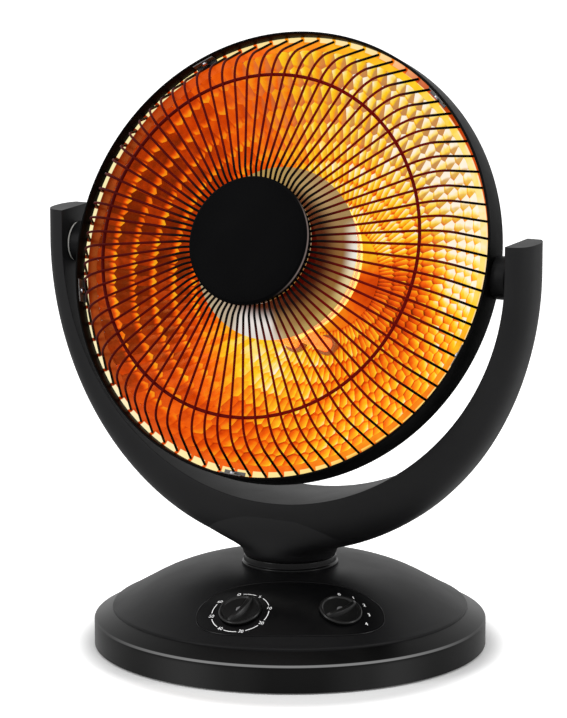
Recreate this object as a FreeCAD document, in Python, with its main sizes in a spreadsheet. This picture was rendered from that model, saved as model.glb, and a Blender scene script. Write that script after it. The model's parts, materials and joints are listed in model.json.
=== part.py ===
import FreeCAD, Part
import math
import os
from types import SimpleNamespace

import Sketcher
from FreeCAD import Placement, Rotation, Vector

# A carbon fibre dish heater: a round head with a glowing ring tube, tilting in a U-shaped yoke
# that swings on a round base. Millimetres, +Z up, the base's front towards -Y, the origin on the
# floor under the swivel axis. The head's own frame has X along the tilt axis, Z forward out of the
# dish and its origin in the middle of the rim, a little in front of the tilt axis.

SIZES = {
    # Pose in which the heater is drawn
    "yaw_at_rest": 26.5,
    "tilt_at_rest": 20,
    "swing_each_way": 35,
    # Clearances
    "running_gap": 0.3,
    "fit_gap": 0.2,
    "weld_depth": 0.2,
    # Rim hoop
    "rim_radius": 175,
    "rim_wall": 2.2,
    "rim_front": 13,
    "rim_back": 14,
    "rim_lip": 3.3,
    "rim_lip_wall": 1.6,
    "rim_bead": 4.8,
    "rim_bead_wall": 1.6,
    # Reflector dish
    "dish_flange": 12,
    "dish_depth": 84,
    "dish_flat": 30,
    "dish_curve": 250,
    "dish_wall": 0.8,
    # Wire guard
    "wire_count": 80,
    "wire_radius": 1,
    "ring_wire_radius": 1.5,
    "mid_ring_inset": 42.5,
    "mid_ring_height": 47.5,
    "guard_slope": 0.18,
    "guard_shoulder_inset": 23,
    "guard_shoulder_bend": 30,
    "guard_crown": 57,
    "guard_crown_bend": 12,
    "guard_inner_radius": 43.5,
    "guard_inner_drop": 4.1,
    "cap_radius": 49.6,
    "cap_wall": 2,
    "cap_crown": 2.5,
    "cap_boss_radius": 6,
    "cap_plate_radius": 47.5,
    "cap_plate_wall": 1.2,
    "clip_count": 5,
    "clip_first_angle": 50,
    "clip_width": 18,
    "clip_wall": 0.8,
    "clip_tongue": 3.6,
    "clip_height": 7.5,
    # Heating element
    "tube_ring_radius": 56,
    "tube_height": -8,
    "tube_radius": 5.5,
    "tube_wall": 1,
    "tube_bend": 12,
    "tube_gap_angle": 26,
    "filament_radius": 2,
    "tube_leg_seat": 18,
    "end_cap_radius": 8,
    "end_cap_length": 36,
    "end_cap_collar": 2.2,
    "deflector_overhang": 11,
    "deflector_height": 15,
    "deflector_flat": 38,
    "deflector_rise": 9,
    "deflector_wall": 0.8,
    "post_radius": 4,
    "post_nut_radius": 7,
    "post_nut_height": 5,
    # Rear of the head
    "plate_margin": 16,
    "plate_wall": 1.6,
    "housing_depth": 38,
    "housing_wall": 2.2,
    "housing_taper": 9,
    "standoff_radius": 4,
    "standoff_inset": 22,
    "vent_count": 14,
    "vent_width": 4,
    "vent_inner": 20,
    "vent_inset": 28,
    # Tilt pivots
    "head_reach": 10,
    "boss_radius": 16.5,
    "stub_radius": 6,
    "stub_length": 16,
    "washer_wall": 1,
    "pivot_nut_radius": 9,
    "pivot_nut_height": 6,
    # Yoke
    "yoke_clearance": 14,
    "yoke_arc_rise": 4,
    "yoke_top_rise": 24.5,
    "yoke_arm_thickness": 17.5,
    "yoke_foot_thickness": 42,
    "yoke_taper": 2.2,
    "yoke_arm_half_depth": 22,
    "yoke_base_half_depth": 37,
    "yoke_back_cut": 0.35,
    "yoke_back_slope": 0.6,
    "yoke_arm_fullness": 2.6,
    "yoke_foot_fullness": 3.2,
    "yoke_wall": 2.5,
    "cover_lip": 1,
    "cover_wall": 2.5,
    "yoke_boss_bite": 2,
    "yoke_screw_boss": 4,
    "yoke_screw_seat": 0.6,
    "neck_radius": 36,
    "neck_length": 4.2,
    "tube_boss_radius": 20,
    "swivel_tube_radius": 15,
    "swivel_tube_wall": 2.5,
    "swivel_tube_drop": 7,
    "swivel_tube_bottom": 21,
    # Base
    "plinth_radius": 153,
    "plinth_foot": 1,
    "plinth_edge_height": 21.8,
    "plinth_wall": 2.5,
    "crease_inset": 14.2,
    "crease_height": 31,
    "shelf_drop": 2.5,
    "shelf_width": 7,
    "dome_slope": 30,
    "shoulder_inset": 26.8,
    "dome_plateau": 45,
    "dome_wall": 2.5,
    "bush_boss_radius": 24,
    "bush_boss_bottom": 44,
    "bush_radius": 20,
    "bush_flange": 2,
    "collar_radius": 36,
    "collar_height": 7.5,
    "collar_lip": 1.6,
    "thrust_washer": 0.9,
    "retainer_radius": 20,
    "retainer_height": 6,
    "bottom_plate_height": 3,
    "bottom_plate_wall": 2,
    "plate_ledge_width": 8,
    "plate_ledge_wall": 2,
    "foot_radius": 10,
    "foot_count": 4,
    "foot_inset": 35,
    "ballast_inner": 95,
    "ballast_inset": 14,
    "ballast_height": 8,
    # Controls
    "panel_half_width": 71,
    "panel_half_height": 34.5,
    "panel_inset": 19,
    "panel_recess": 0.6,
    "panel_wall": 2.5,
    "knob_inset": 7,
    "knob_azimuth": 21.2,
    "knob_radius": 16.5,
    "knob_height": 4.5,
    "knob_lift": 0.8,
    "knob_taper": 1,
    "grip_width": 6,
    "grip_height": 4,
    "shaft_radius": 3,
    "shaft_depth": 16,
    "timer_pointer": 35,
    "selector_pointer": 66,
    "timer_width": 44,
    "timer_depth": 18,
    "selector_width": 30,
    "selector_depth": 22,
    "unit_neck": 3,
    "unit_neck_radius": 6,
    # Swing drive
    "gear_module": 1.25,
    "sector_teeth": 72,
    "pinion_teeth": 16,
    "gear_backlash": 0.5,
    "gear_width": 5,
    "gear_height": 25.5,
    "sector_margin": 11,
    "sector_hub": 21,
    "motor_radius": 25,
    "motor_height": 16,
    "motor_ear": 33,
    "motor_ear_width": 10,
    "motor_shaft_radius": 3.5,
    "motor_shaft_depth": 9,
    # Tip-over switch, cord inlet and terminals
    "tip_switch_x": -62,
    "tip_switch_y": 46,
    "tip_switch_length": 28,
    "tip_switch_width": 16,
    "tip_switch_height": 24,
    "plunger_radius": 4,
    "plunger_length": 14,
    "plunger_travel": 5,
    "plunger_flange": 2,
    "grommet_radius": 5.5,
    "grommet_bore": 3.6,
    "grommet_height": 13,
    "grommet_flange": 2,
    "terminal_length": 34,
    "terminal_width": 14,
    "terminal_height": 16,
    "terminal_x": 57,
    "terminal_y": 46,
    # Fasteners
    "screw_radius": 2,
    "screw_head_radius": 4,
    "screw_head_height": 2,
    "screw_reach": 8,
    "small_screw_radius": 1.2,
    "small_head_radius": 2.4,
    "small_head_height": 1.6,
}

doc = FreeCAD.newDocument("dish_heater")
sheet = doc.addObject("Spreadsheet::Sheet", "Sizes")
for row, (alias, number) in enumerate(SIZES.items(), start=1):
    sheet.set(f"A{row}", alias)
    sheet.set(f"B{row}", str(number))
    sheet.setAlias(f"B{row}", alias)
doc.recompute()


class Size:
    """A size: its number, and the expression over the sheet that gives it."""

    def __init__(self, value, text):
        self.value = float(value)
        self.text = text

    def __add__(self, other):
        other = sized(other)
        return Size(self.value + other.value, f"({self.text} + {other.text})")

    def __sub__(self, other):
        other = sized(other)
        return Size(self.value - other.value, f"({self.text} - {other.text})")

    def __mul__(self, other):
        other = sized(other)
        return Size(self.value * other.value, f"({self.text} * {other.text})")

    def __truediv__(self, other):
        other = sized(other)
        return Size(self.value / other.value, f"({self.text} / {other.text})")

    def __neg__(self):
        return Size(-self.value, f"(0 - {self.text})")

    def __float__(self):
        return self.value


def sized(number):
    """A plain number as a size, and a size as it is."""
    if isinstance(number, Size):
        return number
    return Size(number, repr(number))


def sine(angle):
    return Size(math.sin(math.radians(angle.value)), f"sin({angle.text})")


def cosine(angle):
    return Size(math.cos(math.radians(angle.value)), f"cos({angle.text})")


d = SimpleNamespace(**{alias: Size(sheet.get(alias), f"Sizes.{alias}") for alias in SIZES})
ZERO = sized(0)

# Sizes that follow from others: the head's from the rim and the tube's ring, the base's from the plinth
d.dish_mouth = d.rim_radius - d.dish_flange
d.mid_ring_radius = d.rim_radius - d.mid_ring_inset
d.guard_shoulder = d.rim_radius - d.guard_shoulder_inset
d.deflector_radius = d.tube_ring_radius + d.deflector_overhang
d.plate_radius = d.tube_ring_radius + d.plate_margin
d.standoff_reach = d.plate_radius - d.standoff_inset
d.vent_outer = d.plate_radius - d.vent_inset
d.yoke_inner_radius = d.rim_radius + d.yoke_clearance
d.crease_radius = d.plinth_radius - d.crease_inset
d.dome_shoulder = d.crease_radius - d.shoulder_inset
d.knob_reach = d.dome_shoulder - d.knob_inset
d.panel_reach = d.dome_shoulder - d.panel_inset
d.ballast_outer = d.plinth_radius - d.ballast_inset
d.foot_circle = d.plinth_radius - d.foot_inset

# Levels from the base up to the pivots
dome_edge = d.crease_radius - d.fit_gap
slope_sine = sine(d.dome_slope)
slope_cosine = cosine(d.dome_slope)
slope_tangent = slope_sine / slope_cosine
shoulder_z = d.crease_height + (dome_edge - d.dome_shoulder) * slope_tangent
dome_arc = (d.dome_shoulder - d.dome_plateau) / slope_sine
plateau_z = shoulder_z + dome_arc * (sized(1) - slope_cosine)
collar_top = plateau_z + d.collar_height
neck_bottom = collar_top + d.fit_gap / 2 + d.thrust_washer
yoke_floor = neck_bottom + d.neck_length + d.yoke_foot_thickness
d.pivot_height = yoke_floor + d.yoke_inner_radius - d.yoke_arc_rise
d.swivel_tube_top = yoke_floor - d.swivel_tube_drop

# A cutting tool is this many walls long, so that it passes right through the wall
THROUGH = 4
nodes = []


def keep(obj, label, placement=None):
    """Names an object as one of the heater's pieces and puts it in its place."""
    if placement is not None and obj.TypeId in ("Part::Cylinder", "Part::Torus"):
        whole = doc.addObject("Part::Compound", f"{obj.Name}Placed")
        whole.Links = [obj]
        obj = whole
    obj.Label = label
    if placement is not None:
        obj.Placement = placement
    nodes.append(obj)
    return obj


def bind(obj, **sizes):
    """Binds properties of an object to sizes. A double underscore stands for a dot."""
    for name, size in sizes.items():
        obj.setExpression(name.replace("__", "."), sized(size).text)


def bind_base(obj, x=ZERO, y=ZERO, z=ZERO):
    bind(obj, Placement__Base__x=x, Placement__Base__y=y, Placement__Base__z=z)
    return obj


def arc_between(start, end, radius):
    """The lesser arc from start to end, to the left for a positive radius."""
    chord = end - start
    side = 1 if radius > 0 else -1
    away = math.sqrt(radius * radius - chord.Length ** 2 / 4)
    normal = Vector(-chord.y, chord.x, 0).normalize()
    centre = (start + end) * 0.5 + normal * (away * side)
    first, last = (start, end) if side > 0 else (end, start)
    from_angle = math.atan2(first.y - centre.y, first.x - centre.x)
    to_angle = math.atan2(last.y - centre.y, last.x - centre.x)
    circle = Part.Circle(centre, Vector(0, 0, 1), abs(radius))
    return Part.ArcOfCircle(circle, from_angle, to_angle)


def outline_sketch(body, role, corners):
    """A closed sketch through corners (x, y) or (x, y, radius of the arc to the next corner)."""
    sketch = body.newObject("Sketcher::SketchObject", f"{body.Name}_outline")
    plane = [f for f in body.Origin.OriginFeatures if f.Role == role][0]
    sketch.AttachmentSupport = (plane, [""])
    sketch.MapMode = "FlatFace"
    points = [Vector(float(c[0]), float(c[1]), 0) for c in corners]
    first_end = []
    for i, corner in enumerate(corners):
        end = points[(i + 1) % len(points)]
        if len(corner) == 2:
            sketch.addGeometry(Part.LineSegment(points[i], end), False)
            first_end.append(1)
        else:
            sketch.addGeometry(arc_between(points[i], end, float(corner[2])), False)
            first_end.append(1 if float(corner[2]) > 0 else 2)
    for i, corner in enumerate(corners):
        after = (i + 1) % len(corners)
        sketch.addConstraint(
            Sketcher.Constraint("Coincident", i, 3 - first_end[i], after, first_end[after])
        )
    for i, corner in enumerate(corners):
        wanted = [("DistanceX", corner[0]), ("DistanceY", corner[1])]
        for kind, size in wanted:
            size = sized(size)
            index = sketch.addConstraint(
                Sketcher.Constraint(kind, -1, 1, i, first_end[i], size.value)
            )
            sketch.setExpression(f"Constraints[{index}]", size.text)
        if len(corner) == 3:
            index = sketch.addConstraint(Sketcher.Constraint("Radius", i, abs(float(corner[2]))))
            sketch.setExpression(f"Constraints[{index}]", f"abs({sized(corner[2]).text})")
    return sketch


def turned(name, corners):
    """A body turned about Z from its half section, given as corners (radius, height)."""
    body = doc.addObject("PartDesign::Body", name)
    sketch = outline_sketch(body, "XZ_Plane", corners)
    turn = body.newObject("PartDesign::Revolution", f"{name}_turn")
    turn.Profile = sketch
    turn.ReferenceAxis = (sketch, ["V_Axis"])
    turn.Angle = 360
    return body


def rod(name, radius, height, x=ZERO, y=ZERO, z=ZERO):
    """An upright cylinder with its foot at x, y, z."""
    obj = doc.addObject("Part::Cylinder", name)
    bind(obj, Radius=radius, Height=height)
    return bind_base(obj, x, y, z)


def block(name, length, width, height, x=ZERO, y=ZERO, z=ZERO):
    """A box with the middle of its foot at x, y, z."""
    obj = doc.addObject("Part::Box", name)
    bind(obj, Length=length, Width=width, Height=height)
    return bind_base(obj, sized(x) - sized(length) / 2, sized(y) - sized(width) / 2, z)


def wire_ring(name, radius, wire, z):
    obj = doc.addObject("Part::Torus", name)
    bind(obj, Radius1=radius, Radius2=wire)
    return bind_base(obj, z=z)


def joined(name, *parts):
    obj = doc.addObject("Part::MultiFuse", name)
    obj.Shapes = list(parts)
    return obj


def less(name, base, *tools):
    """The base with the tools cut out of it."""
    obj = doc.addObject("Part::Cut", name)
    obj.Base = base
    obj.Tool = tools[0] if len(tools) == 1 else joined(f"{name}_tools", *tools)
    return obj


def shared(name, base, tool):
    obj = doc.addObject("Part::Common", name)
    obj.Base = base
    obj.Tool = tool
    return obj


def shaped(name, shape):
    """An object that holds a shape made with Part's own functions."""
    obj = doc.addObject("Part::Feature", name)
    obj.Shape = shape
    return obj


def around(count, first=0.0):
    """Evenly spaced angles in degrees."""
    return [first + 360.0 * i / count for i in range(count)]


def polar(radius, angle, z=0.0):
    turn = math.radians(angle)
    return Vector(radius * math.cos(turn), radius * math.sin(turn), z)


def screw_shape(shank, head, head_height, length, place, direction):
    """A pan-head screw: the head sits on place and the shank goes on along direction."""
    top = Part.makeCylinder(float(head), float(head_height), place, direction * -1)
    pin = Part.makeCylinder(float(shank), float(length), place, direction)
    return top.fuse(pin).removeSplitter()


TILT = Placement(
    Vector(0, 0, float(d.pivot_height)),
    Rotation(Vector(0, 0, 1), -float(d.yaw_at_rest))
    * Rotation(Vector(1, 0, 0), 90 - float(d.tilt_at_rest)),
)
HEAD = TILT.multiply(Placement(Vector(0, 0, float(d.head_reach)), Rotation()))
YOKE = Placement(Vector(0, 0, 0), Rotation(Vector(0, 0, 1), -float(d.yaw_at_rest)))

# Rim hoop and its screw holes
rim_inner = d.rim_radius - d.rim_wall
flange_back = -d.dish_wall
clip_top = d.ring_wire_radius * 2 + d.clip_wall + d.fit_gap / 2
clip_screw_height = clip_top + d.clip_height / 2
clip_angles = around(int(float(d.clip_count)), float(d.clip_first_angle))
rim_body = turned("RimBody", [
    (d.rim_radius, -d.rim_back),
    (d.rim_radius, d.rim_front),
    (d.rim_radius - d.rim_lip, d.rim_front),
    (d.rim_radius - d.rim_lip, d.rim_front - d.rim_lip_wall),
    (rim_inner, d.rim_front - d.rim_lip_wall),
    (rim_inner, flange_back),
    (rim_inner - d.rim_bead, flange_back),
    (rim_inner - d.rim_bead, flange_back - d.rim_bead_wall),
    (rim_inner, flange_back - d.rim_bead_wall),
    (rim_inner, -d.rim_back),
])
rim_holes = shaped("RimHoles", Part.makeCompound([
    Part.makeCylinder(
        float(d.small_screw_radius),
        float(d.rim_wall) * THROUGH,
        polar(float(rim_inner) - float(d.rim_wall), angle, float(clip_screw_height)),
        polar(1, angle),
    )
    for angle in clip_angles
]))
keep(less("Rim", rim_body, rim_holes), "rim_hoop", HEAD)

# Reflector dish: a flange seated on the rim's bead, a curved bowl and a flat middle with holes
dish_edge = rim_inner - d.fit_gap
dish_body = turned("DishBody", [
    (dish_edge, flange_back),
    (dish_edge, ZERO),
    (d.dish_mouth, ZERO, -d.dish_curve),
    (d.dish_flat, -d.dish_depth),
    (d.post_radius + d.fit_gap, -d.dish_depth),
    (d.post_radius + d.fit_gap, -d.dish_depth - d.dish_wall),
    (d.dish_flat, -d.dish_depth - d.dish_wall, d.dish_curve + d.dish_wall),
    (d.dish_mouth + d.dish_wall, flange_back),
])
gap_sine = sine(d.tube_gap_angle)
gap_cosine = cosine(d.tube_gap_angle)
leg_x = d.tube_ring_radius * gap_sine - d.tube_bend * gap_cosine
leg_y = -(d.tube_ring_radius * gap_cosine + d.tube_bend * gap_sine)
plate_front = -d.dish_depth - d.dish_wall
plate_back = plate_front - d.plate_wall
leg_sides = (leg_x, -leg_x)
dish_holes = [
    rod(f"DishHole{i}", d.end_cap_radius + d.running_gap, d.dish_depth, side, leg_y, plate_front)
    for i, side in enumerate(leg_sides)
]
keep(less("Dish", dish_body, *dish_holes), "reflector_dish", HEAD)

# Ring-shaped quartz tube with two legs, and the carbon filament inside it
def tube_path(leg_bottom):
    """The tube's middle line: a ring open at the foot, two bends and two legs to the back."""
    ring = float(d.tube_ring_radius)
    bend = float(d.tube_bend)
    height = float(d.tube_height)
    gap = float(d.tube_gap_angle)
    start = polar(ring, -90 + gap, height)
    top = polar(ring, 90, height)
    end = polar(ring, -90 - gap, height)
    edges = [Part.Arc(start, top, end).toShape()]
    for corner, way in ((start, -1), (end, 1)):
        along = Vector(way * math.cos(math.radians(gap)), -math.sin(math.radians(gap)), 0)
        slant = math.sqrt(0.5)
        middle = corner + along * (bend * slant) + Vector(0, 0, -bend * (1 - slant))
        foot = corner + along * bend + Vector(0, 0, -bend)
        edges.append(Part.Arc(corner, middle, foot).toShape())
        edges.append(Part.makeLine(foot, Vector(foot.x, foot.y, leg_bottom)))
    return Part.Wire(Part.__sortEdges__(edges))


def swept(path, radius):
    """A round bar along a path, begun square to the path's first edge."""
    start = path.OrderedVertexes[0].Point
    first = path.OrderedEdges[0]
    heading = first.tangentAt(first.FirstParameter)
    section = Part.Wire(Part.makeCircle(radius, start, heading))
    return path.makePipeShell([section], True, False)


tube_outer = swept(tube_path(float(plate_front)), float(d.tube_radius))
tube_bore = swept(tube_path(float(plate_front)), float(d.tube_radius - d.tube_wall))
keep(shaped("Tube", tube_outer.cut(tube_bore)), "quartz_tube", HEAD)
keep(shaped("Filament", swept(tube_path(float(plate_front)), float(d.filament_radius))),
     "carbon_filament", HEAD)

# Ceramic end caps that take the legs through the dish and stand on the rear plate
cap_foot = plate_front - d.end_cap_length + d.tube_leg_seat


def end_cap(name, side):
    barrel = rod(f"{name}Barrel", d.end_cap_radius, d.end_cap_length, side, leg_y, cap_foot)
    collar = rod(f"{name}Collar", d.end_cap_radius + d.end_cap_collar, d.end_cap_collar,
                 side, leg_y, plate_back - d.end_cap_collar)
    bore = rod(f"{name}Bore", d.tube_radius + d.fit_gap, d.tube_leg_seat, side, leg_y, plate_front)
    return less(name, joined(f"{name}Solid", barrel, collar), bore)


end_caps = doc.addObject("Part::Compound", "EndCaps")
end_caps.Links = [end_cap(f"EndCap{i}", side) for i, side in enumerate(leg_sides)]
keep(end_caps, "tube_end_caps", HEAD)

# Deflector in front of the ring tube, its post, and the nuts at both ends of the post
deflector_front = d.deflector_height + d.deflector_rise
keep(turned("Deflector", [
    (d.post_radius + d.fit_gap, deflector_front),
    (d.deflector_flat, deflector_front),
    (d.deflector_radius, d.deflector_height),
    (d.deflector_radius, d.deflector_height + d.deflector_wall),
    (d.deflector_flat, deflector_front + d.deflector_wall),
    (d.post_radius + d.fit_gap, deflector_front + d.deflector_wall),
]), "deflector", HEAD)
post_foot = plate_back - d.post_nut_height
post_top = deflector_front + d.deflector_wall + d.post_nut_height
keep(rod("Post", d.post_radius, post_top - post_foot, z=post_foot), "deflector_post", HEAD)


def hex_nut(name, radius, height, bore, z):
    """A hexagonal nut on the Z axis, radius measured across its corners."""
    prism = doc.addObject("Part::Prism", f"{name}Prism")
    prism.Polygon = 6
    bind(prism, Circumradius=radius, Height=height)
    bind_base(prism, z=z)
    return less(name, prism, rod(f"{name}Bore", bore, height, z=z))


post_nuts = doc.addObject("Part::Compound", "PostNuts")
post_nuts.Links = [
    hex_nut("PostNutBack", d.post_nut_radius, d.post_nut_height, d.post_radius, post_foot),
    hex_nut("PostNutUnder", d.post_nut_radius, d.post_nut_height, d.post_radius,
            deflector_front - d.post_nut_height),
    hex_nut("PostNutFront", d.post_nut_radius, d.post_nut_height, d.post_radius,
            deflector_front + d.deflector_wall),
]
keep(post_nuts, "post_nuts", HEAD)

# Rear plate with three stand-offs, and the vented housing screwed to them
housing_back = plate_front - d.housing_depth
standoff_angles = around(3, 90)
standoff_end = housing_back + d.housing_wall
plate_disc = rod("PlateDisc", d.plate_radius, d.plate_wall, z=plate_back)
plate_holes = [rod("PlatePostHole", d.post_radius + d.fit_gap, d.plate_wall, z=plate_back)]
for i, side in enumerate(leg_sides):
    plate_holes.append(
        rod(f"PlateLegHole{i}", d.end_cap_radius + d.fit_gap, d.plate_wall, side, leg_y, plate_back)
    )


def spoke(reach, angle):
    """The x and y sizes of a place at a reach from the axis, at a plain angle."""
    turn = sized(angle)
    return reach * cosine(turn), reach * sine(turn)


standoffs = []
housing_holes = []
for i, angle in enumerate(standoff_angles):
    x, y = spoke(d.standoff_reach, angle)
    post = rod(f"Standoff{i}", d.standoff_radius, plate_back - standoff_end, x, y, standoff_end)
    thread = rod(f"StandoffThread{i}", d.screw_radius, d.screw_reach, x, y, standoff_end)
    standoffs.append(less(f"StandoffDrilled{i}", post, thread))
    housing_holes.append(
        rod(f"HousingHole{i}", d.screw_radius, d.housing_wall, x, y, housing_back)
    )
keep(joined("RearPlate", less("PlateDrilled", plate_disc, *plate_holes), *standoffs),
     "element_plate", HEAD)
housing_mouth = d.plate_radius + d.fit_gap
housing_floor = housing_mouth - d.housing_taper
housing_body = turned("HousingBody", [
    (housing_mouth, plate_front),
    (housing_mouth + d.housing_wall, plate_front),
    (housing_mouth + d.housing_wall, plate_back),
    (housing_floor + d.housing_wall, housing_back),
    (ZERO, housing_back),
    (ZERO, housing_back + d.housing_wall),
    (housing_floor, housing_back + d.housing_wall),
    (housing_mouth, plate_back),
])
vents = shaped("Vents", Part.makeCompound([
    Part.makeBox(
        float(d.vent_outer - d.vent_inner), float(d.vent_width), float(d.housing_wall) * THROUGH,
        Vector(float(d.vent_inner), -float(d.vent_width) / 2,
               float(housing_back) - float(d.housing_wall)),
    ).rotated(Vector(0, 0, 0), Vector(0, 0, 1), angle)
    for angle in around(int(float(d.vent_count)))
]))
keep(less("Housing", housing_body, vents, *housing_holes), "rear_housing", HEAD)
keep(shaped("HousingScrews", Part.makeCompound([
    screw_shape(d.screw_radius, d.screw_head_radius, d.screw_head_height,
                float(d.housing_wall + d.screw_reach),
                polar(float(d.standoff_reach), angle, float(housing_back)), Vector(0, 0, 1))
    for angle in standoff_angles
])), "housing_screws", HEAD)

# Wire guard: radial wires welded to three rings
wire_at_ring = d.mid_ring_height + d.wire_radius + d.ring_wire_radius - d.weld_depth
shoulder_height = wire_at_ring - (d.guard_shoulder - d.mid_ring_radius) * d.guard_slope
crown_height = wire_at_ring + (d.mid_ring_radius - d.guard_crown) * d.guard_slope
inner_height = crown_height - d.guard_inner_drop
wire_rise = d.guard_inner_drop / (d.guard_crown - d.guard_inner_radius)
outer_ring_radius = d.rim_radius - d.rim_lip - d.ring_wire_radius - d.fit_gap * 2
weld_reach = d.wire_radius + d.ring_wire_radius - d.weld_depth
wire_foot_radius = outer_ring_radius - weld_reach
wire_foot_height = d.wire_radius + d.fit_gap


def rounded_path(corners, radii):
    """A wire through corners (radius, height) in the XZ plane, its inner corners rounded."""
    points = [Vector(float(r), 0, float(z)) for r, z in corners]
    edges = []
    last = points[0]
    for before, corner, after, radius in zip(points, points[1:], points[2:], radii):
        back = (before - corner).normalize()
        on = (after - corner).normalize()
        half = back.getAngle(on) / 2
        cut = radius / math.tan(half)
        inward = (back + on).normalize()
        middle = corner + inward * (radius / math.sin(half) - radius)
        edges.append(Part.makeLine(last, corner + back * cut))
        edges.append(Part.Arc(corner + back * cut, middle, corner + on * cut).toShape())
        last = corner + on * cut
    edges.append(Part.makeLine(last, points[-1]))
    return Part.Wire(edges)


guard_path = rounded_path(
    [
        (d.guard_inner_radius, inner_height),
        (d.guard_crown, crown_height),
        (d.guard_shoulder, shoulder_height),
        (wire_foot_radius, wire_foot_height),
    ],
    [float(d.guard_crown_bend), float(d.guard_shoulder_bend)],
)
guard_wire = swept(guard_path, float(d.wire_radius))
keep(shaped("GuardWires", Part.makeCompound([
    guard_wire.rotated(Vector(0, 0, 0), Vector(0, 0, 1), angle)
    for angle in around(int(float(d.wire_count)))
])), "guard_wires", HEAD)
keep(wire_ring("MidRing", d.mid_ring_radius, d.ring_wire_radius, d.mid_ring_height),
     "guard_mid_ring", HEAD)
keep(wire_ring("OuterRing", outer_ring_radius, d.ring_wire_radius, d.ring_wire_radius + d.fit_gap / 2),
     "guard_outer_ring", HEAD)
inner_ring_radius = d.guard_inner_radius + d.ring_wire_radius
inner_ring_height = inner_height + d.ring_wire_radius * wire_rise - weld_reach
keep(wire_ring("InnerRing", inner_ring_radius, d.ring_wire_radius, inner_ring_height),
     "guard_inner_ring", HEAD)

# Centre cap over the wires' inner ends, clamped to a plate behind the inner ring
cap_plate_front = inner_ring_height - d.ring_wire_radius
cap_edge = crown_height + d.wire_radius + d.fit_gap * 2
cap_skirt = (crown_height - (d.guard_crown - d.cap_radius) * wire_rise
             + d.wire_radius + d.running_gap)
cap_inside = d.cap_radius - d.cap_wall
keep(turned("Cap", [
    (d.small_screw_radius, cap_plate_front),
    (d.cap_boss_radius, cap_plate_front),
    (d.cap_boss_radius, cap_edge),
    (cap_inside, cap_edge),
    (cap_inside, cap_skirt),
    (d.cap_radius, cap_skirt),
    (d.cap_radius, cap_edge + d.cap_wall),
    (cap_inside, cap_edge + d.cap_crown + d.cap_wall / 2),
    (ZERO, cap_edge + d.cap_wall + d.cap_crown),
    (ZERO, cap_edge),
    (d.small_screw_radius, cap_edge),
]), "centre_cap", HEAD)
cap_plate_back = cap_plate_front - d.cap_plate_wall
keep(less("CapPlate",
          rod("CapPlateDisc", d.cap_plate_radius, d.cap_plate_wall, z=cap_plate_back),
          rod("CapPlateHole", d.small_screw_radius, d.cap_plate_wall, z=cap_plate_back)),
     "cap_plate", HEAD)
keep(shaped("CapScrew", screw_shape(
    d.small_screw_radius, d.small_head_radius, d.small_head_height,
    float(cap_edge - cap_plate_back), Vector(0, 0, float(cap_plate_back)), Vector(0, 0, 1),
)), "cap_screw", HEAD)

# Clips that hold the guard's outer ring down, each with a screw through the rim
clip_arc = math.degrees(float(d.clip_width) / float(rim_inner))


def ring_sector(inner, outer, bottom, height, middle_angle, arc):
    """A piece of a flat ring about Z."""
    whole = Part.makeCylinder(outer, height, Vector(0, 0, bottom), Vector(0, 0, 1), arc)
    hole = Part.makeCylinder(inner, height, Vector(0, 0, bottom), Vector(0, 0, 1), arc)
    return whole.cut(hole).rotated(Vector(0, 0, 0), Vector(0, 0, 1), middle_angle - arc / 2)


def clip_shape(angle):
    under = float(d.ring_wire_radius) * 2 + float(d.fit_gap) / 2
    wall = float(d.clip_wall)
    outside = float(rim_inner) - float(d.fit_gap) / 4
    tongue = ring_sector(outside - float(d.clip_tongue), outside, under, wall, angle, clip_arc)
    height = min(float(d.clip_height) + wall, float(d.rim_front - d.rim_lip_wall) - under)
    back = ring_sector(outside - wall, outside, under, height, angle, clip_arc)
    hole = Part.makeCylinder(
        float(d.small_screw_radius), wall * THROUGH,
        polar(outside - wall * 2, angle, float(clip_screw_height)), polar(1, angle))
    return tongue.fuse(back).cut(hole).removeSplitter()


keep(shaped("Clips", Part.makeCompound([clip_shape(a) for a in clip_angles])), "guard_clips", HEAD)
clip_face = float(rim_inner) - float(d.clip_wall) - float(d.fit_gap) / 4
clip_sagitta = float(d.small_head_radius) ** 2 / (2 * clip_face)
keep(shaped("ClipScrews", Part.makeCompound([
    screw_shape(d.small_screw_radius, d.small_head_radius, d.small_head_height,
                float(d.clip_wall + d.rim_wall),
                polar(clip_face - clip_sagitta, angle, float(clip_screw_height)), polar(1, angle))
    for angle in clip_angles
])), "clip_screws", HEAD)

# Tilt pivots: a boss with a stub shaft on each side of the rim, a washer and a lock nut. The boss
# stops short of the arm by the washer and by what the arm's inside curves in over the boss
boss_drop = d.boss_radius + d.yoke_arc_rise
arm_sagitta = boss_drop * boss_drop / (d.yoke_inner_radius * 2)
boss_face = d.yoke_inner_radius - arm_sagitta - d.washer_wall - d.running_gap


def sideways(shape, way):
    """Turns a shape drawn up the Z axis to lie along X, to the right or to the left."""
    return shape.rotated(Vector(0, 0, 0), Vector(0, 1, 0), 90 * way)


def boss_shape(way):
    depth = float(d.boss_radius) ** 2 / float(d.rim_radius)
    start = float(d.rim_radius) - depth
    drum = Part.makeCylinder(float(d.boss_radius), float(boss_face) - start, Vector(0, 0, start))
    stub = Part.makeCylinder(float(d.stub_radius), float(d.stub_length), Vector(0, 0, float(boss_face)))
    span = float(d.boss_radius) * 2
    rim = Part.makeCylinder(float(d.rim_radius), span * 2, Vector(0, 0, -span))
    return sideways(drum.fuse(stub).removeSplitter(), way).cut(rim)


def washer_shape(outer, bore, start, height):
    whole = Part.makeCylinder(float(outer), float(height), Vector(0, 0, float(start)))
    return whole.cut(Part.makeCylinder(float(bore), float(height), Vector(0, 0, float(start))))


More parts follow.
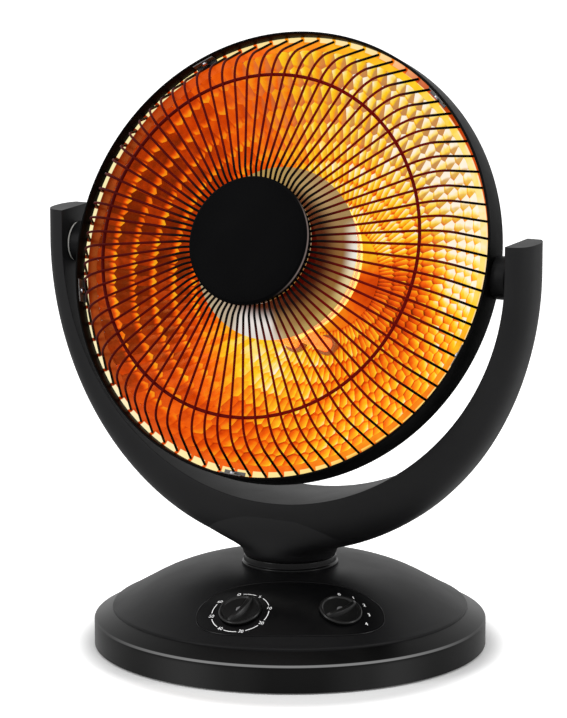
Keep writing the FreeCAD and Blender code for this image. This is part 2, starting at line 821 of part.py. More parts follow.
def hexagon_shape(radius, bore, start, height):
    corners = [polar(float(radius), angle, float(start)) for angle in around(6)]
    prism = Part.Face(Part.makePolygon(corners + corners[:1])).extrude(Vector(0, 0, float(height)))
    return prism.cut(Part.makeCylinder(float(bore), float(height), Vector(0, 0, float(start))))


for way, side in ((1, "right"), (-1, "left")):
    keep(shaped(f"Boss{side}", boss_shape(way)), f"{side}_pivot_boss", TILT)
arm_inside = d.yoke_inner_radius + d.yoke_wall
keep(shaped("PivotWashers", Part.makeCompound([
    sideways(washer_shape(d.boss_radius - d.washer_wall, d.stub_radius, boss_face, d.washer_wall), way)
    for way in (1, -1)
])), "pivot_washers", TILT)
keep(shaped("PivotNuts", Part.makeCompound([
    sideways(hexagon_shape(d.pivot_nut_radius, d.stub_radius, arm_inside + d.running_gap,
                           d.pivot_nut_height), way)
    for way in (1, -1)
])), "pivot_nuts", TILT)

# Yoke: sections along the U, from the left arm's top round the foot to the right arm's top
yoke_angles = (-90, -67.5, -45, -22.5, 0, 22.5, 45, 67.5, 90)
pivot = Vector(0, 0, float(d.pivot_height))
arc_centre = pivot + Vector(0, 0, float(d.yoke_arc_rise))
FOOT_BLEND = 8


def between(arm, foot, angle, power):
    """A size that goes from an arm's value to the foot's, at an angle from straight down."""
    share = math.cos(math.radians(angle)) ** power
    return float(arm) + (float(foot) - float(arm)) * share


def yoke_thickness(angle):
    return between(d.yoke_arm_thickness, d.yoke_foot_thickness, angle, float(d.yoke_taper))


def yoke_half_depth(angle):
    return between(d.yoke_arm_half_depth, d.yoke_base_half_depth, angle, 2)


def yoke_back(angle):
    """How far out the flat back ends and the slope to the outside begins."""
    return yoke_thickness(angle) * (1 - float(d.yoke_back_cut))


def yoke_mouth(angle):
    """How far out the hollow's mouth in the back ends."""
    return yoke_back(angle) - float(d.cover_lip)


def front_bulge(angle):
    """How far out the middle of the front's curve lies, as a share of the thickness and the depth."""
    return 0.5 ** (1 / between(d.yoke_arm_fullness, d.yoke_foot_fullness, angle, FOOT_BLEND))


def yoke_place(angle, rise=0.0):
    """Gives a function from (outward, back) to a point of the section at an angle."""
    turn = math.radians(angle)
    out = Vector(math.sin(turn), 0, -math.cos(turn))
    start = arc_centre + out * float(d.yoke_inner_radius) + Vector(0, 0, rise)
    return lambda outward, back: start + out * outward + Vector(0, back, 0)


def shell_section(angle, rise):
    """A section of the yoke: flat inside and back, convex front, a sharp ridge at the front inside."""
    at = yoke_place(angle, rise)
    thick = yoke_thickness(angle)
    half = yoke_half_depth(angle)
    slope = half * float(d.yoke_back_slope)
    bulge = front_bulge(angle)
    ridge = at(0, -half)
    side = at(thick, 0)
    corners = [side, at(thick, half - slope), at(yoke_back(angle), half), at(0, half), ridge]
    edges = [Part.Arc(ridge, at(thick * bulge, -half * bulge), side).toShape()]
    edges += [Part.makeLine(a, b) for a, b in zip(corners, corners[1:])]
    return Part.Wire(edges)


def cavity_section(angle, rise):
    """A section of the hollow inside the yoke, open at the back between the cover's edges."""
    at = yoke_place(angle, rise)
    wall = float(d.yoke_wall)
    far = yoke_thickness(angle) - wall
    half = yoke_half_depth(angle)
    slope = half * float(d.yoke_back_slope)
    mouth = yoke_mouth(angle)
    front = -half + 2 * wall
    bulge = front_bulge(angle)
    ridge = at(wall, front)
    side = at(far, 0)
    corners = [side, at(far, half - slope - wall), at(mouth, half - float(d.cover_wall) - wall),
               at(mouth, half + wall), at(wall, half + wall), ridge]
    edges = [Part.Arc(ridge, at(wall + (far - wall) * bulge, front * bulge), side).toShape()]
    edges += [Part.makeLine(a, b) for a, b in zip(corners, corners[1:])]
    return Part.Wire(edges)


def cover_section(angle, rise):
    """A section of the back cover, which lies in the hollow's mouth."""
    at = yoke_place(angle, rise)
    half = yoke_half_depth(angle)
    near = float(d.yoke_wall + d.fit_gap)
    far = yoke_mouth(angle) - float(d.fit_gap)
    inner = half - float(d.cover_wall)
    corners = [at(near, inner), at(far, inner), at(far, half), at(near, half)]
    return Part.makePolygon(corners + corners[:1])


def along_yoke(section, top_rise):
    """A loft of a section all along the yoke."""
    ends = ((yoke_angles[0], top_rise), (yoke_angles[-1], top_rise))
    stations = [ends[0]] + [(angle, 0.0) for angle in yoke_angles] + [ends[1]]
    return Part.makeLoft([section(angle, rise) for angle, rise in stations], True, False)


yoke_screw_angles = (-66, -42, -18, 18, 42, 66)


def yoke_screw_place(angle):
    """The seat of a back screw's head, sunk a little into the cover."""
    at = yoke_place(angle)
    middle = (float(d.yoke_wall) + yoke_mouth(angle)) / 2
    return at(middle, yoke_half_depth(angle) - float(d.yoke_screw_seat))


FORWARD = Vector(0, -1, 0)
yoke_top = float(d.yoke_top_rise)
yoke_skin = along_yoke(shell_section, yoke_top)
yoke_hollow = along_yoke(cavity_section, yoke_top - float(d.yoke_wall))
neck_top = neck_bottom + d.neck_length + d.yoke_foot_thickness / 2
neck = Part.makeCylinder(
    float(d.neck_radius), float(neck_top - neck_bottom), Vector(0, 0, float(neck_bottom)))
yoke_solid = yoke_skin.fuse(neck).cut(yoke_hollow)
tube_boss = Part.makeCylinder(
    float(d.tube_boss_radius), float(d.swivel_tube_top - neck_bottom), Vector(0, 0, float(neck_bottom)))
cover_depth = float(d.cover_wall)
boss_start = cover_depth - float(d.fit_gap)


def boss_length(angle):
    """From the back cover's inside to a little way into the front wall."""
    start = yoke_screw_place(angle) + FORWARD * boss_start
    sight = Part.makeLine(start, start + FORWARD * (2 * yoke_half_depth(angle)))
    return sight.common(yoke_hollow).Length + float(d.yoke_boss_bite)


screw_bosses = [
    Part.makeCylinder(float(d.yoke_screw_boss), boss_length(angle),
                      yoke_screw_place(angle) + FORWARD * boss_start, FORWARD)
    for angle in yoke_screw_angles
]
head_seats = Part.makeCompound([
    Part.makeCylinder(float(d.screw_head_radius + d.fit_gap), cover_depth,
                      yoke_screw_place(angle), FORWARD * -1)
    for angle in yoke_screw_angles
])
screw_holes = Part.makeCompound([
    Part.makeCylinder(float(d.screw_radius), float(d.screw_reach) + cover_depth,
                      yoke_screw_place(angle), FORWARD)
    for angle in yoke_screw_angles
])
pivot_holes = Part.makeCompound([
    sideways(Part.makeCylinder(float(d.stub_radius + d.running_gap), float(d.yoke_wall) * THROUGH,
                               Vector(0, 0, float(d.yoke_inner_radius - d.yoke_wall))), way)
    for way in (1, -1)
])
pivot_holes.translate(pivot)
tube_top_plug = Part.makeCylinder(
    float(d.swivel_tube_radius), float(d.swivel_tube_top), Vector(0, 0, 0))
yoke_front = yoke_solid.fuse([tube_boss] + screw_bosses)
yoke_front = yoke_front.cut([tube_top_plug, screw_holes, pivot_holes]).removeSplitter()
keep(shaped("YokeFront", yoke_front), "yoke_front_shell", YOKE)
yoke_cover = along_yoke(cover_section, yoke_top - float(d.yoke_wall + d.fit_gap))
yoke_cover = yoke_cover.cut([screw_holes, head_seats])
keep(shaped("YokeCover", yoke_cover), "yoke_back_cover", YOKE)
keep(shaped("YokeScrews", Part.makeCompound([
    screw_shape(d.screw_radius, d.screw_head_radius, d.screw_head_height,
                float(d.screw_reach) + cover_depth, yoke_screw_place(angle), FORWARD)
    for angle in yoke_screw_angles
])), "yoke_screws", YOKE)


def sleeve(name, outer, inner, bottom, top):
    """A turned ring between two heights."""
    return turned(name, [(inner, bottom), (outer, bottom), (outer, top), (inner, top)])


# Swivel: a tube fixed in the yoke's neck, turning in a bush in the base
keep(sleeve("SwivelTube", d.swivel_tube_radius, d.swivel_tube_radius - d.swivel_tube_wall,
            d.swivel_tube_bottom, d.swivel_tube_top), "swivel_tube", YOKE)
keep(sleeve("ThrustWasher", d.neck_radius - d.washer_wall, d.swivel_tube_radius,
            collar_top + d.fit_gap / 2, neck_bottom), "thrust_washer", YOKE)
bush_bottom = d.bush_boss_bottom - d.bush_flange
retainer_top = bush_bottom - d.running_gap
keep(hex_nut("Retainer", d.retainer_radius, d.retainer_height, d.swivel_tube_radius,
             retainer_top - d.retainer_height), "swivel_nut", YOKE)
bush_outer = d.bush_radius - d.fit_gap / 2
bush_bore = d.swivel_tube_radius + d.running_gap
keep(turned("Bush", [
    (bush_bore, bush_bottom),
    (d.bush_boss_radius, bush_bottom),
    (d.bush_boss_radius, d.bush_boss_bottom),
    (bush_outer, d.bush_boss_bottom),
    (bush_outer, collar_top - d.running_gap),
    (bush_bore, collar_top - d.running_gap),
]), "swivel_bush")
keep(turned("Collar", [
    (d.bush_radius, plateau_z),
    (d.collar_radius + d.collar_lip, plateau_z),
    (d.collar_radius + d.collar_lip, plateau_z + d.collar_lip),
    (d.collar_radius, plateau_z + d.collar_lip * 2),
    (d.collar_radius, collar_top),
    (d.bush_radius, collar_top),
]), "neck_collar")

# Base dome, with an oval opening for the control panel
shelf_z = d.crease_height - d.shelf_drop


def slope_z(radius, below):
    """The height of the dome's straight slope at a radius, a depth below its surface."""
    return d.crease_height + (dome_edge - radius) * slope_tangent - below / slope_cosine


def shoulder_corner(below):
    return d.dome_shoulder - below * slope_sine, shoulder_z - below * slope_cosine


dome_inside = dome_edge - d.dome_wall
dome_body = turned("DomeBody", [
    (d.bush_radius, plateau_z),
    (d.dome_plateau, plateau_z, -dome_arc),
    shoulder_corner(ZERO),
    (dome_edge, d.crease_height),
    (dome_edge, shelf_z),
    (dome_inside, shelf_z),
    (dome_inside, slope_z(dome_inside, d.dome_wall)),
    shoulder_corner(d.dome_wall) + (dome_arc - d.dome_wall,),
    (d.dome_plateau, plateau_z - d.dome_wall),
    (d.bush_boss_radius, plateau_z - d.dome_wall),
    (d.bush_boss_radius, d.bush_boss_bottom),
    (d.bush_radius, d.bush_boss_bottom),
])


def on_slope(reach, azimuth, below):
    """A frame on the dome's curve: Z out of its skin, Y up it, X level to the right."""
    turn = math.radians(azimuth)
    lean = math.asin(float((reach - d.dome_plateau) / dome_arc))
    level = float(plateau_z) - float(dome_arc) * (1 - math.cos(lean))
    out = (Rotation(Vector(0, 0, 1), azimuth)
           * Rotation(Vector(1, 0, 0), math.degrees(lean)))
    place = Vector(float(reach) * math.sin(turn), -float(reach) * math.cos(turn), level)
    return Placement(place - out.multVec(Vector(0, 0, float(below))), out)


def oval_prism(grow):
    """The control panel's oval, as a prism square to the slope, grown by a clearance."""
    oval = Part.Ellipse(Vector(0, 0, 0), float(d.panel_half_width) + grow,
                        float(d.panel_half_height) + grow)
    depth = float(d.panel_half_height)
    face = Part.Face(Part.Wire(oval.toShape()))
    prism = face.extrude(Vector(0, 0, depth * 2))
    prism.translate(Vector(0, 0, -depth))
    prism.Placement = on_slope(d.panel_reach, 0, ZERO).multiply(prism.Placement)
    return prism


keep(less("Dome", dome_body, shaped("PanelOpening", oval_prism(float(d.fit_gap)))), "base_dome")

# Control panel set in the opening, with holes for the two shafts
panel_top = d.panel_recess
panel_under = d.panel_recess + d.panel_wall
panel_low = d.crease_radius - d.shelf_width
panel_shell = turned("PanelShell", [
    (d.dome_plateau, plateau_z - panel_top, -(dome_arc - panel_top)),
    shoulder_corner(panel_top),
    (panel_low, slope_z(panel_low, panel_top)),
    (panel_low, slope_z(panel_low, panel_under)),
    shoulder_corner(panel_under) + (dome_arc - panel_under,),
    (d.dome_plateau, plateau_z - panel_under),
])
controls = (
    SimpleNamespace(name="timer", side=-1, pointer=d.timer_pointer,
                    width=d.timer_width, depth=d.timer_depth, unit="timer_unit"),
    SimpleNamespace(name="selector", side=1, pointer=d.selector_pointer,
                    width=d.selector_width, depth=d.selector_depth, unit="selector_switch"),
)


def control_place(control):
    return on_slope(d.knob_reach, control.side * float(d.knob_azimuth), panel_top)


shaft_hole = float(d.shaft_radius + d.running_gap)
panel_holes = shaped("PanelHoles", Part.makeCompound([
    Part.makeCylinder(shaft_hole, float(d.panel_wall) * THROUGH, Vector(0, 0, -float(d.panel_wall) * 2))
    .transformed(control_place(control).toMatrix())
    for control in controls
]))
panel_solid = shared("PanelSolid", panel_shell, shaped("PanelOval", oval_prism(0.0)))
keep(less("Panel", panel_solid, panel_holes), "control_panel")

# Timer and selector: a unit behind the panel, a shaft through it and a knob with a grip bar
unit_top = -d.panel_wall - d.unit_neck
for control in controls:
    place = control_place(control)
    name = control.name
    case = block(f"{name}Case", control.width, control.width, control.depth,
                 z=unit_top - control.depth)
    neck = rod(f"{name}Neck", d.unit_neck_radius, d.unit_neck - d.fit_gap, z=unit_top)
    well = rod(f"{name}Well", d.shaft_radius + d.running_gap, d.shaft_depth + d.running_gap,
               z=unit_top + d.unit_neck - d.shaft_depth - d.running_gap)
    keep(less(f"{name}Unit", joined(f"{name}Solid", case, neck), well), control.unit, place)
    shaft_foot = -d.panel_wall - d.shaft_depth
    shaft_top = d.knob_lift + d.knob_height / 2
    shaft = rod(f"{name}Shaft", d.shaft_radius, shaft_top - shaft_foot, z=shaft_foot)
    keep(shaft, f"{name}_shaft", place)
    knob = turned(f"{name}Knob", [
        (d.shaft_radius, d.knob_lift),
        (d.knob_radius, d.knob_lift),
        (d.knob_radius, d.knob_lift + d.knob_height / 2),
        (d.knob_radius - d.knob_taper, d.knob_lift + d.knob_height),
        (ZERO, d.knob_lift + d.knob_height),
        (ZERO, shaft_top),
        (d.shaft_radius, shaft_top),
    ])
    grip = block(f"{name}Grip", d.grip_width, (d.knob_radius - d.knob_taper) * 2, d.grip_height,
                 z=d.knob_lift + d.knob_height)
    turned_place = place.multiply(
        Placement(Vector(0, 0, 0), Rotation(Vector(0, 0, 1), -float(control.pointer))))
    keep(joined(f"{name}KnobSolid", knob, grip), f"{name}_knob", turned_place)

# Plinth, and the bottom plate screwed up to its ledge
plate_top = d.bottom_plate_height + d.bottom_plate_wall
ledge_top = plate_top + d.plate_ledge_wall
plinth_inside = d.plinth_radius - d.plinth_wall
shelf_inside = d.crease_radius - d.shelf_width
shelf_under = shelf_z - d.plinth_wall
plinth_body = turned("PlinthBody", [
    (d.plinth_radius, d.plinth_foot),
    (d.plinth_radius, d.plinth_edge_height),
    (d.crease_radius, d.crease_height),
    (d.crease_radius, shelf_z),
    (shelf_inside, shelf_z),
    (shelf_inside, shelf_under),
    (d.crease_radius, shelf_under),
    (plinth_inside, d.plinth_edge_height - d.plinth_wall),
    (plinth_inside, ledge_top),
    (plinth_inside - d.plate_ledge_width, ledge_top),
    (plinth_inside - d.plate_ledge_width, plate_top),
    (plinth_inside, plate_top),
    (plinth_inside, d.plinth_foot),
])
plate_screw_angles = around(4)
plate_screw_circle = plinth_inside - d.screw_head_radius - d.fit_gap
plate_screw_holes = []
ledge_holes = []
for i, angle in enumerate(plate_screw_angles):
    x, y = spoke(plate_screw_circle, angle)
    plate_screw_holes.append(
        rod(f"PlateScrewHole{i}", d.screw_radius, d.bottom_plate_wall, x, y, d.bottom_plate_height))
    ledge_holes.append(rod(f"LedgeHole{i}", d.screw_radius, d.plate_ledge_wall, x, y, plate_top))


def backward(shape, y, z):
    """Turns a shape drawn up the Z axis to point to the back, and moves it."""
    turned_shape = shape.rotated(Vector(0, 0, 0), Vector(1, 0, 0), -90)
    turned_shape.translate(Vector(0, float(y), float(z)))
    return turned_shape


inlet_hole = shaped("InletHole", backward(
    Part.makeCylinder(float(d.grommet_radius), float(d.plinth_wall) * THROUGH),
    d.plinth_radius - d.plinth_wall * 2, d.grommet_height))
keep(less("Plinth", plinth_body, inlet_hole, *ledge_holes), "base_plinth")

# Cord inlet: a grommet in the plinth's back wall
flange_radius = float(d.grommet_radius + d.grommet_flange)
grommet = Part.makeCylinder(float(d.grommet_radius), float(d.plinth_wall)).fuse(
    Part.makeCylinder(flange_radius, float(d.grommet_flange), Vector(0, 0, float(d.plinth_wall))))
grommet = grommet.cut(Part.makeCylinder(float(d.grommet_bore), float(d.plinth_wall) * THROUGH))
keep(shaped("Grommet", backward(grommet.removeSplitter(), plinth_inside, d.grommet_height)),
     "cord_grommet")

# Gears of the swing drive
PRESSURE_ANGLE = math.radians(20)
ADDENDUM = 0.9
DEDENDUM = 1.2
FLANK_STEPS = 5


def tooth_half_angle(radius, teeth):
    """Half the angle that an involute tooth fills at a radius."""
    pitch = float(d.gear_module) * teeth / 2
    base = pitch * math.cos(PRESSURE_ANGLE)
    roll = math.acos(min(1.0, base / radius))
    at_pitch = math.pi / (2 * teeth) - float(d.gear_backlash) / (4 * pitch)
    involute = math.tan(PRESSURE_ANGLE) - PRESSURE_ANGLE - (math.tan(roll) - roll)
    return at_pitch + involute


def gear_face(teeth, angles, hub):
    """Teeth at the angles given, round a disc's root circle, with a hub of its own radius."""
    module = float(d.gear_module)
    pitch = module * teeth / 2
    root = pitch - DEDENDUM * module
    tip = pitch + ADDENDUM * module
    height = float(d.gear_width)
    solids = []
    for angle in angles:
        flank = []
        for i in range(FLANK_STEPS + 1):
            radius = root + (tip - root) * i / FLANK_STEPS
            flank.append((radius, math.degrees(tooth_half_angle(radius, teeth))))
        points = [polar(hub, angle - flank[0][1])]
        points += [polar(radius, angle - half) for radius, half in flank]
        points += [polar(radius, angle + half) for radius, half in reversed(flank)]
        points.append(polar(hub, angle + flank[0][1]))
        solids.append(Part.Face(Part.makePolygon(points + points[:1])).extrude(Vector(0, 0, height)))
    return solids, root


sector_teeth = int(float(d.sector_teeth))
pinion_teeth = int(float(d.pinion_teeth))
centre_distance = d.gear_module * (d.sector_teeth + d.pinion_teeth) / 2
mesh_angle = 90.0
sector_reach = float(d.swing_each_way + d.sector_margin)
sector_middle = mesh_angle - float(d.yaw_at_rest)
sector_step = 360.0 / sector_teeth
sector_angles = [
    mesh_angle + k * sector_step
    for k in range(-sector_teeth // 2, sector_teeth // 2)
    if abs(mesh_angle + k * sector_step - sector_middle) <= sector_reach
]
sector_tooth_solids, sector_root = gear_face(
    sector_teeth, sector_angles, float(d.sector_hub))
sector_arc = 2 * sector_reach + sector_step
web = Part.makeCylinder(sector_root, float(d.gear_width), Vector(0, 0, 0), Vector(0, 0, 1), sector_arc)
web.rotate(Vector(0, 0, 0), Vector(0, 0, 1), sector_middle - sector_arc / 2)
sector_hub = Part.makeCylinder(float(d.sector_hub), float(d.gear_width))
sector = sector_hub.fuse([web] + sector_tooth_solids).cut(
    Part.makeCylinder(float(d.swivel_tube_radius), float(d.gear_width))).removeSplitter()
keep(shaped("Sector", sector), "drive_sector",
     Placement(Vector(0, 0, float(d.gear_height)), Rotation()))
pinion_angles = around(pinion_teeth, mesh_angle + 180 + 180 / pinion_teeth)
pinion_tooth_solids, pinion_root = gear_face(
    pinion_teeth, pinion_angles, float(d.motor_shaft_radius))
motor_top = plate_top + d.motor_height
shaft_bottom = motor_top - d.motor_shaft_depth
shaft_length = float(d.gear_height - shaft_bottom)
pinion = Part.makeCylinder(pinion_root, float(d.gear_width)).fuse(
    pinion_tooth_solids + [Part.makeCylinder(
        float(d.motor_shaft_radius), shaft_length, Vector(0, 0, -shaft_length))])
keep(shaped("Pinion", pinion.removeSplitter()), "motor_pinion",
     Placement(Vector(0, float(centre_distance), float(d.gear_height)), Rotation()))

# Swing motor on the bottom plate, held by two ears
motor_can = rod("MotorCan", d.motor_radius, d.motor_height, y=centre_distance, z=plate_top)
motor_ears = block("MotorEars", (d.motor_ear + d.motor_ear_width / 2) * 2, d.motor_ear_width,
                   d.bottom_plate_wall, y=centre_distance, z=plate_top)
motor_well = rod("MotorWell", d.motor_shaft_radius + d.running_gap, d.motor_shaft_depth,
                 y=centre_distance, z=shaft_bottom)
ear_places = (d.motor_ear, -d.motor_ear)
ear_holes = [
    rod(f"EarHole{i}", d.screw_radius, d.bottom_plate_wall, x, centre_distance, plate_top)
    for i, x in enumerate(ear_places)
]
keep(less("Motor", joined("MotorSolid", motor_can, motor_ears), motor_well, *ear_holes),
     "swing_motor")
keep(shaped("MotorScrews", Part.makeCompound([
    screw_shape(d.screw_radius, d.screw_head_radius, d.screw_head_height,
                float(d.bottom_plate_wall) * 2,
                Vector(float(x), float(centre_distance), float(plate_top + d.bottom_plate_wall)),
                Vector(0, 0, -1))
    for x in ear_places
])), "motor_screws")

# Tip-over switch: a spring plunger that the floor holds up
plunger_hole = d.plunger_radius + d.running_gap
flange_bottom = plate_top + d.plunger_travel + d.running_gap
plunger_rod = rod("PlungerRod", d.plunger_radius, d.plunger_length, d.tip_switch_x, d.tip_switch_y)
plunger_ring = rod("PlungerRing", d.plunger_radius + d.plunger_flange, d.plunger_flange,
                   d.tip_switch_x, d.tip_switch_y, flange_bottom)
keep(joined("Plunger", plunger_rod, plunger_ring), "tip_plunger")
tip_case = block("TipCase", d.tip_switch_length, d.tip_switch_width, d.tip_switch_height,
                 d.tip_switch_x, d.tip_switch_y, plate_top)
tip_well = rod("TipWell", plunger_hole + d.plunger_flange,
               d.plunger_length + d.running_gap - plate_top, d.tip_switch_x, d.tip_switch_y, plate_top)
keep(less("TipSwitch", tip_case, tip_well), "tip_switch")

# Bottom plate with its holes, feet, screws and ballast ring
plate_cuts = plate_screw_holes + [
    rod("PlungerHole", plunger_hole, d.bottom_plate_wall, d.tip_switch_x, d.tip_switch_y,
        d.bottom_plate_height)
] + [
    rod(f"MotorScrewHole{i}", d.screw_radius, d.bottom_plate_wall, x, centre_distance,
        d.bottom_plate_height)
    for i, x in enumerate(ear_places)
]
plate_blank = rod("PlateBlank", plinth_inside - d.fit_gap, d.bottom_plate_wall,
                  z=d.bottom_plate_height)
keep(less("BottomPlate", plate_blank, *plate_cuts), "bottom_plate")
keep(shaped("PlateScrews", Part.makeCompound([
    screw_shape(d.screw_radius, d.screw_head_radius, d.screw_head_height,
                float(d.bottom_plate_wall + d.plate_ledge_wall),
                polar(float(plate_screw_circle), angle, float(d.bottom_plate_height)),
                Vector(0, 0, 1))
    for angle in plate_screw_angles
])), "plate_screws")
feet = doc.addObject("Part::Compound", "Feet")
foot_rods = []
for i, angle in enumerate(around(int(float(d.foot_count)), 45)):
    x, y = spoke(d.foot_circle, angle)
    foot_rods.append(rod(f"Foot{i}", d.foot_radius, d.bottom_plate_height, x, y))
feet.Links = foot_rods
keep(feet, "rubber_feet")
keep(sleeve("Ballast", d.ballast_outer, d.ballast_inner, plate_top, plate_top + d.ballast_height),
     "ballast_ring")
keep(block("Terminals", d.terminal_length, d.terminal_width, d.terminal_height,
           d.terminal_x, d.terminal_y, plate_top), "terminal_block")

doc.recompute()
faults = [o.Label for o in doc.Objects if "Invalid" in o.State or "Error" in o.State]
faults += [o.Label for o in nodes if o.Shape.isNull() or not o.Shape.isValid()]
if faults:
    raise RuntimeError("failed pieces: " + ", ".join(sorted(set(faults))))
os.makedirs("parts", exist_ok=True)
for obj in nodes:
    obj.Shape.exportStep(f"parts/{obj.Label}.step")
    solids = obj.Shape.Solids
    print(f"{obj.Label}: {len(solids)} solids, {sum(s.Volume for s in solids) / 1000:.1f} cm3")
print(len(nodes), "pieces")
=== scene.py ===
# %% [markdown]
# A carbon fibre dish heater. The measured frame holds every working piece of it as a plain solid.
# This lesson dresses that frame: it gives each piece that shows its moulded edges, its facets or its
# printed marks, and every piece a finish built from nodes. Nothing is moved: a new piece is made
# where the solid that it stands for already is.

# %% Load the frame
import json
import math

import bmesh
import bpy
from mathutils import Euler, Matrix, Vector


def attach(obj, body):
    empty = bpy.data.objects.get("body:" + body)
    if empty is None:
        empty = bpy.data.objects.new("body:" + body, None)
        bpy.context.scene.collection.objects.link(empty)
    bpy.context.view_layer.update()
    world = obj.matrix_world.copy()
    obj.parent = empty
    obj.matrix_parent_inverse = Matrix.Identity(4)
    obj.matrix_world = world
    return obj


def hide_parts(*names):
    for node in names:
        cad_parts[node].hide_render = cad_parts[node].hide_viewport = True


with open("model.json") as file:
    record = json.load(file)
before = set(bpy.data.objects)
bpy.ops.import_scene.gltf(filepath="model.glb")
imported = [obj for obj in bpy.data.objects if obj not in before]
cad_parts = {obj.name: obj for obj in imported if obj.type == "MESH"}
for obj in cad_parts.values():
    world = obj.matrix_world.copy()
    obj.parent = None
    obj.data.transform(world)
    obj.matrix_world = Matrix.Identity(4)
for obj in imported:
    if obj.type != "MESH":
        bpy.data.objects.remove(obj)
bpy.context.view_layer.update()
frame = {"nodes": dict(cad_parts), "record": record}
scene = bpy.context.scene
scene.view_settings.view_transform = "Standard"
MM = 0.001
print("solids in the frame:", len(frame["nodes"]))

# %% [markdown]
# The camera comes first, because every later choice is judged through it. A long lens far away keeps
# the dish nearly undistorted. Its place and its focal length in pixels were fitted to the ellipses of
# the rim, the guard's ring and the base, so the lens is worked out from the image's height.

# %% Camera
IMAGE_HEIGHT = 718
FOCAL_PIXELS = 4193.7
camera_data = bpy.data.cameras.new("studio_camera")
camera_data.sensor_fit = "VERTICAL"
camera_data.sensor_height = 36.0
camera_data.lens = FOCAL_PIXELS * camera_data.sensor_height / IMAGE_HEIGHT
camera_data.clip_end = 30.0
camera = bpy.data.objects.new("studio_camera", camera_data)
camera.location = (-0.00519, -3.1801, 0.8671)
camera.rotation_euler = (math.radians(90 - 11.4), 0, 0)
scene.collection.objects.link(camera)
scene.camera = camera
print(f"lens {camera_data.lens:.1f} mm")

# %% [markdown]
# Finishes are small node trees, so a few short helpers save much typing: one starts a finish, one adds
# a node with its inputs, and a small class lets sums of nodes be written as sums. Patterns read Object
# coordinates in metres, so a grain of half a millimetre is a noise scale of about two thousand.


# %% Helpers for finishes
def opened(material):
    """A material's tree and its main shader."""
    return material.node_tree, material.node_tree.nodes["Principled BSDF"]


def new_finish(name):
    """A new material, its tree and its main shader."""
    material = bpy.data.materials.new(name)
    material.use_nodes = True
    return material, *opened(material)


class Field:
    """A value worked out by nodes. It adds and multiplies as plain numbers do, by adding Math nodes."""

    def __init__(self, socket):
        self.socket = socket
        self.id_data = socket.id_data

    def __add__(self, other):
        return calc("ADD", self, other)

    def __sub__(self, other):
        return calc("SUBTRACT", self, other)

    def __rsub__(self, other):
        return calc("SUBTRACT", other, self)

    def __mul__(self, other):
        return calc("MULTIPLY", self, other)


def feed(socket, value):
    """Sets a socket to a plain value, or links a field or another socket to it."""
    source = value.socket if isinstance(value, Field) else value
    if isinstance(source, bpy.types.NodeSocket):
        socket.id_data.links.new(source, socket)
    else:
        socket.default_value = source


def shade(node, **inputs):
    """Sets or links the inputs of a shader or another node, named in words with underscores for spaces."""
    for name, value in inputs.items():
        feed(node.inputs[name.replace("_", " ")], value)


def add_node(tree, kind, **inputs):
    """A new node with its inputs."""
    node = tree.nodes.new(kind)
    shade(node, **inputs)
    return node


def made(tree, kind, **inputs):
    """What a new node gives: its first output."""
    return Field(add_node(tree, kind, **inputs).outputs[0])


def calc(operation, *values):
    """A sum of numbers and fields."""
    tree = next(value.id_data for value in values if isinstance(value, Field))
    node = tree.nodes.new("ShaderNodeMath")
    node.operation = operation
    for socket, value in zip(node.inputs, values):
        feed(socket, value)
    return Field(node.outputs[0])


def ramp(value, stops, smooth=False):
    """A colour ramp with stops of (place, colour)."""
    node = add_node(value.id_data, "ShaderNodeValToRGB", Fac=value)
    node.color_ramp.interpolation = "EASE" if smooth else "LINEAR"
    elements = node.color_ramp.elements
    while len(elements) < len(stops):
        elements.new(1.0)
    for element, (place, colour) in zip(elements, stops):
        element.position = place
        element.color = (*colour, 1.0)
    return Field(node.outputs["Color"])


def eased(value, low, high):
    """0 below low, 1 above high, and a smooth step between."""
    node = add_node(value.id_data, "ShaderNodeMapRange", Value=value, From_Min=low, From_Max=high)
    node.interpolation_type = "SMOOTHSTEP"
    return Field(node.outputs["Result"])


def blend(share, first, second):
    """A colour between two others."""
    node = share.id_data.nodes.new("ShaderNodeMix")
    node.data_type = "RGBA"
    for place, value in ((0, share), (6, first), (7, second)):
        feed(node.inputs[place], value)
    return node.outputs[2]


def split(tree, vector):
    """The x, y and z of a vector."""
    return [Field(socket) for socket in add_node(tree, "ShaderNodeSeparateXYZ", Vector=vector).outputs]


def object_coords(tree):
    return tree.nodes.new("ShaderNodeTexCoord").outputs["Object"]


def noise(tree, scale, detail=2.0, coords=None):
    where = object_coords(tree) if coords is None else coords
    return Field(add_node(tree, "ShaderNodeTexNoise", Vector=where, Scale=scale, Detail=detail).outputs["Fac"])


def spread_about(value, middle, spread):
    """A pattern of 0 to 1 brought to a narrow range about a middle value."""
    return made(value.id_data, "ShaderNodeMapRange", Value=value, To_Min=middle - spread, To_Max=middle + spread)


def bumped(shader, height, depth):
    """Roughens a shader's surface by a height pattern, depth in metres."""
    shade(shader, Normal=made(shader.id_data, "ShaderNodeBump", Height=height, Distance=depth))


print("helpers ready")

# %% [markdown]
# A product like this is shot on a white sweep. The world is white where the camera, a reflection or a
# transparent piece looks at it, and gives only a soft fill to everything else, so the black plastic
# keeps its depth. Two tall soft boxes at the sides draw the long highlights down the yoke, and a third
# lights the base from above.

# %% World
FILL = 0.42
world = bpy.data.worlds.new("white_sweep")
world.use_nodes = True
scene.world = world
sky = world.node_tree
rays = sky.nodes.new("ShaderNodeLightPath").outputs
seen = Field(rays["Is Camera Ray"]) + rays["Is Glossy Ray"] + rays["Is Transmission Ray"]
seen.socket.node.use_clamp = True
shade(sky.nodes["Background"], Color=(1, 1, 1, 1),
      Strength=made(sky, "ShaderNodeMapRange", Value=seen, To_Min=FILL, To_Max=1.0))
print("world fill", FILL)


